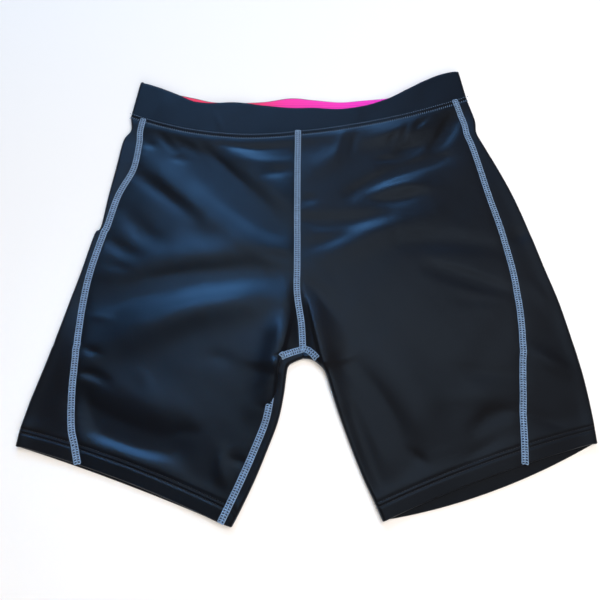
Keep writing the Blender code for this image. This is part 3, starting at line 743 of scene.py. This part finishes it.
def back_row(rows, i, crotch, sign):
    """One row of a back panel: side seam, outer fold, floor, and the left flap."""
    st = rows[i]
    half = SEAM_GAP / 2
    share, seam = side_seam(st)
    inward = outer_inward(rows, i)
    fold_top = st.outer + inward * fold_radius(st.outer, inward)
    out = unit(fold_top - seam)
    first = seam + out * half
    second = seam + out * FLATLOCK_HALF
    stops = [first, lerp(first, second, 0.5)]
    stops += [lerp(second, fold_top, k / STRIP_COLUMNS) for k in range(STRIP_COLUMNS)]
    row = []
    width = np.linalg.norm(st.outer - st.front)
    for p in stops:
        f = 1 - np.linalg.norm(p - st.outer) / width
        row.append(top(p + np.array((0.0, 4 * f * (1 - f) * st.bow)) + waist_shift(i)))
    for angle in FOLD_ANGLES:
        row.append(fold(st.outer + waist_shift(i), inward, angle))
    flap = []
    if not st.leg:
        rise = fold_radius(rows[crotch].back, np.array((0.0, 1.0)))
        rise += INSEAM_UNDER + SEAM_GAP if sign > 0 else 0.0
        floor_end = st.back + np.array((sign * half, rise * crotch_share(i, crotch)))
    elif sign > 0:
        turn = right_inward(i)
        reach = fold_radius(st.back, turn) + INSEAM_UNDER + SEAM_GAP
        floor_end = st.back + turn * reach
        if i == crotch:
            floor_end = floor_end + np.array((half, 0.0))
    else:
        turn = unit(st.front - st.back)
        shift = np.array((-half if i == crotch else 0.0, 0.0))
        edge = st.back + shift
        floor_end = edge + turn * fold_radius(edge, turn)
        flap = [fold(edge, turn, angle) for angle in FOLD_ANGLES[-2::-1]]
        beside = st.front - turn * FLATLOCK_HALF + shift
        flap += [top(lerp(floor_end, beside, k / 3)) for k in (1, 2, 3)]
        flap.append(top(st.front - turn * half + shift))
    for k in range(1, FLOOR_COLUMNS + 1):
        f = k / FLOOR_COLUMNS
        p = lerp(fold_top, floor_end, f)
        p = p + np.array((0.0, 4 * f * (1 - f) * st.bow_back)) + waist_shift(i)
        row.append(floor(p))
    if sign < 0 and not st.leg:
        flap = [None] * (len(FOLD_ANGLES) + 3)
    return row + flap


def add_mesh(name, points, faces, material, shares=None):
    """Piece from points in the tables' frame, mm; shares is a value across it."""
    middle = np.array((BOX_MIDDLE[0], BOX_MIDDLE[1], 0.0))
    mesh = bpy.data.meshes.new(name)
    mesh.from_pydata(((np.asarray(points) - middle) * MM).tolist(), [], faces)
    mesh.shade_smooth()
    if shares is not None:
        layer = mesh.attributes.new("share", "FLOAT", "POINT")
        layer.data.foreach_set("value", np.asarray(shares, np.float32))
    mesh.materials.append(material)
    piece = bpy.data.objects.new(name, mesh)
    bpy.context.collection.objects.link(piece)
    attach(piece, "root")
    return piece


def shell_faces(there, closed):
    """Cells of a grid whose four corners are there, as flat point numbers."""
    count_rows, count_columns = there.shape
    numbers = np.cumsum(there.ravel()).reshape(there.shape) - 1
    cells = []
    for i in range(count_rows - 1):
        for j in range(count_columns if closed else count_columns - 1):
            k = (j + 1) % count_columns
            if there[i, j] and there[i, k] and there[i + 1, j] and there[i + 1, k]:
                corners = (numbers[i, j], numbers[i, k], numbers[i + 1, k], numbers[i + 1, j])
                cells.append([int(n) for n in corners])
    return cells


def shell(name, made, material, closed=False):
    """Closed wall of cloth with a rounded rim all along its border."""
    outer = made.points[made.there]
    normals = made.normals[made.there]
    walls = np.repeat(made.wall[:, None], made.there.shape[1], 1)[made.there]
    inner = outer - normals * walls[:, None]
    cells = shell_faces(made.there, closed)
    a, b, c = (outer[n] for n in cells[0][:3])
    if np.dot(np.cross(b - a, c - b), normals[cells[0][0]]) < 0:
        cells = [cell[::-1] for cell in cells]
    cell_array = np.array(cells)
    centres = outer[cell_array].mean(axis=1)
    owner = {}
    for number, cell in enumerate(cells):
        for a, b in zip(cell, cell[1:] + cell[:1]):
            owner[a, b] = number
    border = [(a, b) for a, b in owner if (b, a) not in owner]
    away = np.zeros_like(outer)
    for a, b in border:
        out = unit((outer[a] + outer[b]) / 2 - centres[owner[a, b]])
        away[a] += out
        away[b] += out
    rim_ids = sorted({n for edge in border for n in edge})
    rim_at = {n: k for k, n in enumerate(rim_ids)}
    out = away[rim_ids]
    level = normals[rim_ids]
    out = unit(out - level * np.sum(out * level, axis=1)[:, None])
    middle = (outer[rim_ids] + inner[rim_ids]) / 2
    middle = middle + out * (walls[rim_ids] * RIM_BULGE)[:, None]
    middle[:, 2] = np.maximum(middle[:, 2], 0.02)
    under = len(outer)
    rim = 2 * under
    faces = list(cells)
    faces += [[n + under for n in reversed(cell)] for cell in cells]
    for a, b in border:
        faces.append([b, a, rim + rim_at[a], rim + rim_at[b]])
        faces.append([rim + rim_at[b], rim + rim_at[a], a + under, b + under])
    return add_mesh(name, np.concatenate((outer, inner, middle)), faces, material)


def panel(name, rows, crotch, sign, row_of, material, lapped=False):
    made = shell_of(
        [row_of(rows, i, crotch, sign) for i in range(len(rows))],
        [st.wall for st in rows],
    )
    if lapped:
        made = lap_over(made, crotch)
    return shell(name, made, material), made


def lap_over(made, crotch):
    """The front's inner edge, lapped over the inseam and rolled under, mm."""
    points = made.points.copy()
    leg = np.clip((np.arange(len(points)) - crotch) / (len(points) - crotch), 0, 1)
    share = np.clip((leg - LAP_FROM) / (LAP_TO - LAP_FROM), 0, 1)
    amount = (np.sin(pi * share) ** 0.5) * (share > 0) * (share < 1)
    start = points[:, 0, :2]
    out = unit(start - points[:, 2, :2])
    gone = np.linalg.norm(points[:, :, :2] - start[:, None, :], axis=-1)
    shift = amount[:, None] * LAP_REACH * np.exp(-((gone / LAP_FADE) ** 2))
    rolled = np.exp(-((gone / LAP_ROLL_REACH) ** 2)) * amount[:, None]
    shift = shift - rolled * LAP_ROLL * LAP_ROLL_IN
    lift = amount[:, None] * LAP_LIFT * np.exp(-((gone / LAP_FADE) ** 2))
    points[:, :, :2] += out[:, None, :] * shift[..., None]
    points[:, :, 2] += lift - rolled * LAP_ROLL * LAP_ROLL_DOWN
    down = np.gradient(points, axis=0)
    over = np.gradient(points, axis=1)
    normals = unit(np.cross(down, over) + 1e-9)
    flip = np.sign(np.sum(normals * made.normals, axis=-1))
    normals = normals * np.where(flip == 0, 1, flip)[..., None]
    near = np.exp(-((gone / (2 * LAP_FADE)) ** 2)) * np.sqrt(amount)[:, None]
    normals = unit(lerp(made.normals, normals, near[..., None]))
    return made._replace(points=points, normals=normals)


def top_edge_y(x, column):
    """Height in plan of the waistband's free edge, smooth through its table."""
    table = [np.array(row, float) for row in TOP_EDGE]
    i = max(k for k in range(len(table) - 1) if k == 0 or table[k][0] <= x)
    t = (x - table[i][0]) / (table[i + 1][0] - table[i][0])
    return through(table, i, t)[column]


def band_row(t, seams):
    """One row round the waistband: front, right fold, back, left fold."""
    folds = []
    for rows, end in ((LEFT, TOP_EDGE[0]), (RIGHT, TOP_EDGE[-1])):
        inward = outer_inward(rows, 0)
        low = rows[0].outer + np.array((0.0, SEAM_GAP / 2))
        high = np.array((end.x, end.front_y))
        ends = [edge + inward * fold_radius(edge, inward) for edge in (low, high)]
        folds.append((lerp(low, high, t), inward, ends))
    (left, left_in, left_ends), (right, right_in, right_ends) = folds
    layers = []
    for seam, part in zip(seams, (1, 2)):
        layer = []
        for k in range(1, BAND_COLUMNS):
            x_low, x_high = (
                lerp(a[0], b[0], k / BAND_COLUMNS) for a, b in zip(left_ends, right_ends)
            )
            low = np.array((x_low, np.interp(x_low, seam[:, 0], seam[:, 1]) + SEAM_GAP))
            layer.append(lerp(low, np.array((x_high, top_edge_y(x_high, part))), t))
        layers.append(layer)
    row = [top(p) for p in layers[0]]
    row += [fold(right, right_in, angle) for angle in FOLD_ANGLES]
    row += [floor(p) for p in reversed(layers[1])]
    row += [fold(left, left_in, angle) for angle in reversed(FOLD_ANGLES)]
    return row


def waist_seams(fronts, backs):
    """The panels' own upper and lower end points along the waist, left to right."""
    turn = STRIP_COLUMNS + 2
    upper = [made.points[0, made.there[0]] for made in fronts]
    upper += [made.points[0, : turn + 1] for made in backs]
    first = turn + len(FOLD_ANGLES) - 1
    lower = [made.points[0, first : first + FLOOR_COLUMNS + 1] for made in backs]
    seams = []
    for parts in (upper, lower):
        points = np.concatenate(parts)[:, :2]
        seams.append(points[np.argsort(points[:, 0])])
    return seams


def surface(x, y):
    """Heights and normals of the upper layer, rounded down at its folds."""
    z, up = heights_and_slopes(x, y)
    edge = np.min([distance_to_path(x, y, path) for path in EDGES], axis=0)
    radius = z / 2
    share = np.clip(1 - edge / radius, 0, 1)
    return radius + (z - radius) * np.sqrt(1 - share * share), up


def resample(path, pitch):
    """Points along a path of plan points at an even pitch, and their directions."""
    path = np.array(path)
    runs = np.linalg.norm(np.diff(path, axis=0), axis=1)
    keep = np.concatenate(((True,), runs > 1e-6))
    path = path[keep]
    at = np.concatenate(((0.0,), np.cumsum(np.linalg.norm(np.diff(path, axis=0), axis=1))))
    count = max(int(round(at[-1] / pitch)), 1)
    stops = np.linspace(0, at[-1], count + 1)
    points = np.stack([np.interp(stops, at, path[:, k]) for k in (0, 1)], -1)
    return points, unit(np.gradient(points, axis=0))


def square_to(directions):
    return np.stack((-directions[:, 1], directions[:, 0]), -1)


def on_cloth(plan, lift):
    """Points over plan points, lifted off the cloth along its normal."""
    z, up = surface(plan[..., 0], plan[..., 1])
    points = np.concatenate((plan, z[..., None]), -1)
    return points + up * np.asarray(lift)[..., None], up


def strand_mesh(points, ups, widths, thick, sides):
    """Closed tubes round strands of points, an array of strands by rings."""
    count, rings, _ = points.shape
    ahead = unit(np.gradient(points, axis=1))
    side = unit(np.cross(ahead, ups))
    lift = np.cross(side, ahead)
    turn = np.arange(sides) * 2 * pi / sides
    ring = side[:, :, None, :] * np.cos(turn)[:, None]
    ring = ring * widths[None, :, None, None]
    rise = lift[:, :, None, :] * np.sin(turn)[:, None] * (widths * thick)[None, :, None, None]
    vertices = (points[:, :, None, :] + ring + rise).reshape(-1, 3)
    faces = []
    for n in range(count):
        base = n * rings * sides
        for r in range(rings - 1):
            for k in range(sides):
                m = (k + 1) % sides
                a, b = base + r * sides, base + (r + 1) * sides
                faces.append([a + k, a + m, b + m, b + k])
        faces.append([base + k for k in reversed(range(sides))])
        faces.append([base + (rings - 1) * sides + k for k in range(sides)])
    return vertices, faces


def merge(parts):
    """One list of points and faces, and of shares, from several."""
    points, faces, shares = [], [], []
    for part_points, part_faces, share in parts:
        first = sum(len(p) for p in points)
        points.append(part_points)
        faces += [[n + first for n in face] for face in part_faces]
        shares.append(np.broadcast_to(share, len(part_points)))
    return np.concatenate(points), faces, np.concatenate(shares)


def flatlock_parts(path, draws):
    """Ribbon with three rails, and short bars of thread across both its lanes."""
    centre, ahead = resample(path, RIBBON_PITCH)
    side = square_to(ahead)
    offsets = np.array([spot[0] for spot in RIBBON])
    rises = np.array([spot[1] for spot in RIBBON])
    plan = centre[:, None, :] + side[:, None, :] * offsets[None, :, None]
    beads = 1 + 0.12 * np.sin(np.arange(len(centre)) * 2 * pi * RIBBON_PITCH / FLATLOCK_PITCH)
    lift = rises[None, :] * np.where(rises > LANE_DEPTH, beads[:, None], 1.0)
    points, _ = on_cloth(plan, lift)
    rows, columns = plan.shape[:2]
    faces = []
    for i in range(rows - 1):
        for j in range(columns):
            k = (j + 1) % columns
            a, b = i * columns, (i + 1) * columns
            faces.append([a + j, a + k, b + k, b + j])
    faces.append(list(range(columns))[::-1])
    faces.append([(rows - 1) * columns + j for j in range(columns)])
    lane = np.tile([spot[2] for spot in RIBBON], rows)
    parts = [(points.reshape(-1, 3), faces, lane)]
    centre, ahead = resample(path, FLATLOCK_PITCH)
    side = square_to(ahead)
    reach = np.linspace(0, 1, len(BAR_LIFT))
    for lane_sign in (-1, 1):
        slant = draws.normal(0.0, 0.10, len(centre)) + BAR_SLANT
        offset = lane_sign * lerp(BAR_START, BAR_END, reach)
        bars = centre[:, None, :] + side[:, None, :] * offset[None, :, None]
        along_seam = (reach[None, :] - 0.5) * slant[:, None] * 2
        along_seam = along_seam + draws.normal(0.0, 0.10, len(centre))[:, None]
        bars = bars + ahead[:, None, :] * along_seam[..., None]
        lifted, up = on_cloth(bars, np.broadcast_to(BAR_LIFT, bars.shape[:2]))
        points, faces = strand_mesh(lifted, up, BAR_WIDTHS, 0.6, 6)
        parts.append((points, faces, 1.0))
    return parts


def stitch_parts(path, stitch):
    """Dashes of thread along a path; each dips into the cloth at both ends."""
    centre, ahead = resample(path, stitch.pitch)
    side = square_to(ahead)
    reach = np.linspace(-0.5, 0.5, len(DASH_WIDTHS))
    plan = centre[:, None, :] + ahead[:, None, :] * (reach * stitch.length)[None, :, None]
    plan = plan + side[:, None, :] * (reach * stitch.slant)[None, :, None]
    dip = 1 - 4 * reach * reach
    lifted, up = on_cloth(plan, np.broadcast_to(stitch.lift * dip, plan.shape[:2]))
    return strand_mesh(lifted, up, DASH_WIDTHS * stitch.radius, 0.8, 5)


def offset_path(path, distance, towards):
    """Path moved sideways by a distance, on the side of a plan point."""
    path = np.array(path)
    side = square_to(unit(np.gradient(path, axis=0)))
    middle = len(path) // 2
    if np.dot(side[middle], np.array(towards) - path[middle]) < 0:
        side = -side
    return path + side * distance


def new_material(name, colour, roughness):
    material = bpy.data.materials.new(name)
    material.use_nodes = True
    nodes = material.node_tree.nodes
    shader = nodes["Principled BSDF"]
    shader.inputs["Base Color"].default_value = colour
    shader.inputs["Roughness"].default_value = roughness
    shader.inputs["Metallic"].default_value = 0.0
    return material, nodes, material.node_tree.links, shader


def node(nodes, kind, **values):
    made = nodes.new(kind)
    for key, value in values.items():
        setattr(made, key, value)
    return made


def ramp(nodes, stops):
    """Colour ramp from (place, colour) pairs."""
    made = nodes.new("ShaderNodeValToRGB")
    elements = made.color_ramp.elements
    for k, (place, colour) in enumerate(stops):
        spot = elements[k] if k < 2 else elements.new(place)
        spot.position = place
        spot.color = colour
    return made


def grey(value):
    return (value, value, value, 1.0)


def paint_product(nodes, links, shader, tone, shade):
    """Base colour from one ramp times another."""
    mix = node(nodes, "ShaderNodeMix", data_type="RGBA", blend_type="MULTIPLY")
    mix.inputs["Factor"].default_value = 1.0
    links.new(tone.outputs["Color"], mix.inputs[6])
    links.new(shade.outputs["Color"], mix.inputs[7])
    links.new(mix.outputs[2], shader.inputs["Base Color"])


def noise(nodes, links, coordinates, scale, detail=2.0):
    made = nodes.new("ShaderNodeTexNoise")
    made.inputs["Scale"].default_value = scale
    made.inputs["Detail"].default_value = detail
    links.new(coordinates.outputs["Object"], made.inputs["Vector"])
    return made


def knit_bump(nodes, links, coordinates, shader, pitch, strength, depth):
    """Fine courses of knit, as a bump of two crossed waves and a little noise."""
    waves = []
    for direction in ("X", "Y"):
        wave = node(nodes, "ShaderNodeTexWave", bands_direction=direction)
        wave.inputs["Scale"].default_value = 0.314 / pitch * 1000
        wave.inputs["Distortion"].default_value = 0.6
        wave.inputs["Detail"].default_value = 1.0
        links.new(coordinates.outputs["Object"], wave.inputs["Vector"])
        waves.append(wave)
    both = node(nodes, "ShaderNodeMath", operation="MULTIPLY")
    links.new(waves[0].outputs["Fac"], both.inputs[0])
    links.new(waves[1].outputs["Fac"], both.inputs[1])
    bump = nodes.new("ShaderNodeBump")
    bump.inputs["Strength"].default_value = strength
    bump.inputs["Distance"].default_value = depth * MM
    links.new(both.outputs[0], bump.inputs["Height"])
    links.new(bump.outputs["Normal"], shader.inputs["Normal"])


def cloth_material(name, dark, light, roughness, gloss):
    """Smooth black stretch knit: near black, with a satin sheen tinted blue as painted
    skylight.
    """
    material, nodes, links, shader = new_material(name, dark, roughness)
    coordinates = nodes.new("ShaderNodeTexCoord")
    cloud = noise(nodes, links, coordinates, 7.0)
    tone = ramp(nodes, ((0.35, dark), (0.7, light)))
    links.new(cloud.outputs["Fac"], tone.inputs["Fac"])
    links.new(tone.outputs["Color"], shader.inputs["Base Color"])
    grain = noise(nodes, links, coordinates, 900.0, 3.0)
    rough = ramp(nodes, ((0.3, grey(roughness - 0.04)), (0.7, grey(roughness + 0.06))))
    links.new(grain.outputs["Fac"], rough.inputs["Fac"])
    links.new(rough.outputs["Color"], shader.inputs["Roughness"])
    shader.inputs["Specular IOR Level"].default_value = gloss
    # The blue tint of the reflection and sheen is painted skylight
    shader.inputs["Specular Tint"].default_value = SATIN_PAINTED_SKY_TINT
    shader.inputs["Sheen Weight"].default_value = 0.03
    shader.inputs["Sheen Roughness"].default_value = 0.45
    shader.inputs["Sheen Tint"].default_value = SATIN_PAINTED_SKY_TINT
    knit_bump(nodes, links, coordinates, shader, 0.9, 0.18, 0.05)
    return material


def lining_material():
    """Bright brushed pink elastic, coral at the left as painted shade and magenta to the right
    as painted skylight, fine lines.
    """
    material, nodes, links, shader = new_material("lining_knit", LINING_PAINTED_SHADE_CORAL, 0.7)
    coordinates = nodes.new("ShaderNodeTexCoord")
    split = nodes.new("ShaderNodeSeparateXYZ")
    links.new(coordinates.outputs["Object"], split.inputs["Vector"])
    # Along x, painted shade turns the pink coral at the left and painted skylight turns it
    # magenta at the right
    place = nodes.new("ShaderNodeMapRange")
    for socket, value in (("From Min", -0.125), ("From Max", 0.085)):
        place.inputs[socket].default_value = value
    links.new(split.outputs["X"], place.inputs["Value"])
    tone = ramp(
        nodes,
        (
            (0.0, LINING_PAINTED_SHADE_CORAL),
            (1.0, LINING_PAINTED_SKYLIT_MAGENTA),
            (0.32, LINING_PAINTED_SHADE_CORAL),
            (0.48, LINING_PINK),
        ),
    )
    links.new(place.outputs["Result"], tone.inputs["Fac"])
    lines = node(nodes, "ShaderNodeTexWave", bands_direction="Y")
    lines.inputs["Scale"].default_value = 0.314 / 2.6 * 1000
    lines.inputs["Distortion"].default_value = 0.4
    links.new(coordinates.outputs["Object"], lines.inputs["Vector"])
    shade = ramp(nodes, ((0.0, grey(0.72)), (0.6, grey(1.0))))
    links.new(lines.outputs["Fac"], shade.inputs["Fac"])
    paint_product(nodes, links, shader, tone, shade)
    shader.inputs["Sheen Weight"].default_value = 0.2
    knit_bump(nodes, links, coordinates, shader, 1.2, 0.25, 0.08)
    return material


def thread_material(name, dark, light, roughness):
    """Twisted thread; a piece's share value picks between its lane and rail tones."""
    material, nodes, links, shader = new_material(name, light, roughness)
    coordinates = nodes.new("ShaderNodeTexCoord")
    share = node(nodes, "ShaderNodeAttribute", attribute_name="share")
    tone = ramp(nodes, ((0.0, dark), (1.0, light)))
    links.new(share.outputs["Fac"], tone.inputs["Fac"])
    fleck = noise(nodes, links, coordinates, 260.0, 3.0)
    shade = ramp(nodes, ((0.3, grey(0.66)), (0.7, grey(1.0))))
    links.new(fleck.outputs["Fac"], shade.inputs["Fac"])
    paint_product(nodes, links, shader, tone, shade)
    shader.inputs["Sheen Weight"].default_value = 0.15
    bump = nodes.new("ShaderNodeBump")
    bump.inputs["Strength"].default_value = 0.3
    bump.inputs["Distance"].default_value = 0.1 * MM
    links.new(fleck.outputs["Fac"], bump.inputs["Height"])
    links.new(bump.outputs["Normal"], shader.inputs["Normal"])
    return material


def add_seams(thread):
    """Flatlock seams, each in place of its solid."""
    draws = np.random.default_rng(11)
    waist_run = np.array(WAIST_RUN)
    centre = [st.front for st in LEFT[:LEFT_CROTCH]] + [LEFT[LEFT_CROTCH].front]
    centre = [centre[0] + waist_run] + centre
    paths = {"seam_centre_front": centre}
    for name, rows in (("seam_side_left", LEFT), ("seam_side_right", RIGHT)):
        path = [along(st, side_seam(st)[0]) for st in rows]
        paths[name] = [path[0] + (path[0] - path[3]) * SIDE_RUN] + path
    paths["seam_inseam_left"] = [st.front for st in LEFT[LEFT_CROTCH:]]
    for name, path in paths.items():
        stretches = [path]
        if name == "seam_inseam_left":
            stretches = [
                [p for p in path if p[1] > TAPE_HIDDEN[0]],
                [p for p in path if p[1] < TAPE_HIDDEN[1]],
            ]
        parts = []
        for stretch in stretches:
            parts += flatlock_parts(stretch, draws)
        if name == "seam_centre_front":
            parts += flatlock_parts(RIGHT_BRANCH, draws)
        points, faces, tones = merge(parts)
        piece = add_mesh("flatlock_" + name[5:], points, faces, thread, tones)
        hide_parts(name)


def add_stitches(fine_thread, black_thread):
    """Coverstitching beside the waist seam and along the hems."""
    rows = [WAIST[::-1] + np.array((0.0, distance)) for distance in WAIST_ROWS]
    lower = stitch_parts(rows[0], BAND_LOWER)
    upper = stitch_parts(rows[1], BAND_UPPER)
    points, faces, tones = merge([lower + (1.0,), upper + (1.0,)])
    stitches = add_mesh("band_coverstitch", points, faces, fine_thread, tones)

    parts = []
    for rows, towards in ((LEFT, (-150.0, 0.0)), (RIGHT, (160.0, 0.0))):
        fine = np.linspace(0.0, 1.0, 60)
        hem = [along(rows[-1], f) for f in fine]
        for distance in HEM_ROWS:
            path = offset_path(hem, distance, towards)
            parts.append(stitch_parts(path, HEM_ROW) + (1.0,))
    points, faces, tones = merge(parts)
    stitches = add_mesh("hem_stitches", points, faces, black_thread, tones)


def make_garment():
    # Left front: its navy base colour is painted cool skylight
    left_cloth = cloth_material("cloth_left", CLOTH_PAINTED_SKYLIT, CLOTH_PAINTED_SKYLIT_PALE, 0.34, 0.50)
    right_cloth = cloth_material("cloth_right", CLOTH_BLACK, CLOTH_BLACK_LIGHT, 0.36, 0.50)
    back_cloth = cloth_material("cloth_back", CLOTH_BLACK, CLOTH_BLACK_LIGHT, 0.38, 0.45)
    band_cloth = cloth_material("band_knit", CLOTH_BLACK, CLOTH_BLACK_LIGHT, 0.50, 0.30)
    lining_cloth = lining_material()
    thread = thread_material("flatlock_thread", LANE_SHADE, STEEL_THREAD, 0.55)
    fine_thread = thread_material("coverstitch_thread", BAND_STITCH, BAND_STITCH, 0.6)
    black_thread = thread_material("hem_thread", HEM_STITCH, HEM_STITCH, 0.5)

    front_left, left_made = panel(
        "cloth_front_left", LEFT, LEFT_CROTCH, -1, front_row, left_cloth, lapped=True
    )
    front_right, right_made = panel(
        "cloth_front_right", RIGHT, RIGHT_CROTCH, 1, front_row, right_cloth
    )
    back_left, back_left_made = panel(
        "cloth_back_left", LEFT, LEFT_CROTCH, -1, back_row, back_cloth
    )
    back_right, back_right_made = panel(
        "cloth_back_right", RIGHT, RIGHT_CROTCH, 1, back_row, back_cloth
    )
    for piece, stood_for in (
        (front_left, "front_left"),
        (front_right, "front_right"),
        (back_left, "back_left"),
        (back_right, "back_right"),
    ):
        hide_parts(stood_for)
    seams = waist_seams((left_made, right_made), (back_left_made, back_right_made))

    shares = np.linspace(0, 1, BAND_ROWS + 1)
    rows = [band_row(t, seams) for t in shares]
    band = shell("band_outer", shell_of(rows, [CLOTH] * len(rows)), band_cloth, closed=True)
    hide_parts("waistband")
    rows = [band_row(t * LINING_TOP, seams) for t in shares]
    inside = shell_of(rows, [LINING] * len(rows))
    inside = inside._replace(points=inside.points - inside.normals * (CLOTH + SEAM_GAP))
    lining = shell("band_lining", inside, lining_cloth, closed=True)
    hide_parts("waistband_lining")

    add_seams(thread)
    add_stitches(fine_thread, black_thread)
    return front_left, front_right, back_left, back_right, band, lining


def stage():
    mesh = bpy.data.meshes.new("floor")
    half = 3.0
    corners = [(-half, -half, 0), (half, -half, 0), (half, half, 0), (-half, half, 0)]
    mesh.from_pydata(corners, [], [(0, 1, 2, 3)])
    material, _, _, _ = new_material("floor_paint", FLOOR_WHITE, 0.9)
    mesh.materials.append(material)
    ground = bpy.data.objects.new("floor", mesh)
    ground.location = (0.0, 0.0, -0.0002)
    bpy.context.collection.objects.link(ground)


def area_light(lamp):
    data = bpy.data.lights.new(lamp.name, "AREA")
    data.shape = "RECTANGLE"
    data.size, data.size_y = lamp.size
    data.energy = lamp.power
    data.color = lamp.colour
    data.spread = radians(lamp.spread)
    made = bpy.data.objects.new(lamp.name, data)
    made.location = lamp.place
    made.rotation_euler = (Vector(lamp.aim) - made.location).to_track_quat("-Z", "Y").to_euler()
    made.visible_glossy = lamp.glossy
    bpy.context.collection.objects.link(made)


def light_and_camera():
    scene = bpy.context.scene
    world = scene.world or bpy.data.worlds.new("studio")
    scene.world = world
    world.use_nodes = True
    sky = world.node_tree.nodes["Background"]
    sky.inputs["Color"].default_value = ROOM_GLOW
    sky.inputs["Strength"].default_value = 0.05
    for lamp in LAMPS:
        area_light(lamp)
    data = bpy.data.cameras.new("camera")
    data.lens = 35.46
    data.sensor_width = 36.0
    data.clip_start = 0.01
    camera = bpy.data.objects.new("camera", data)
    aim = Vector((-0.006, -0.0328, 0.0))
    tilt = radians(CAMERA_ELEVATION)
    camera.location = aim + Vector((0, -cos(tilt), sin(tilt))) * CAMERA_DISTANCE
    camera.rotation_euler = (aim - camera.location).to_track_quat("-Z", "Y").to_euler()
    bpy.context.collection.objects.link(camera)
    scene.camera = camera
    scene.view_settings.view_transform = "Standard"


PIECES = make_garment()
stage()
light_and_camera()
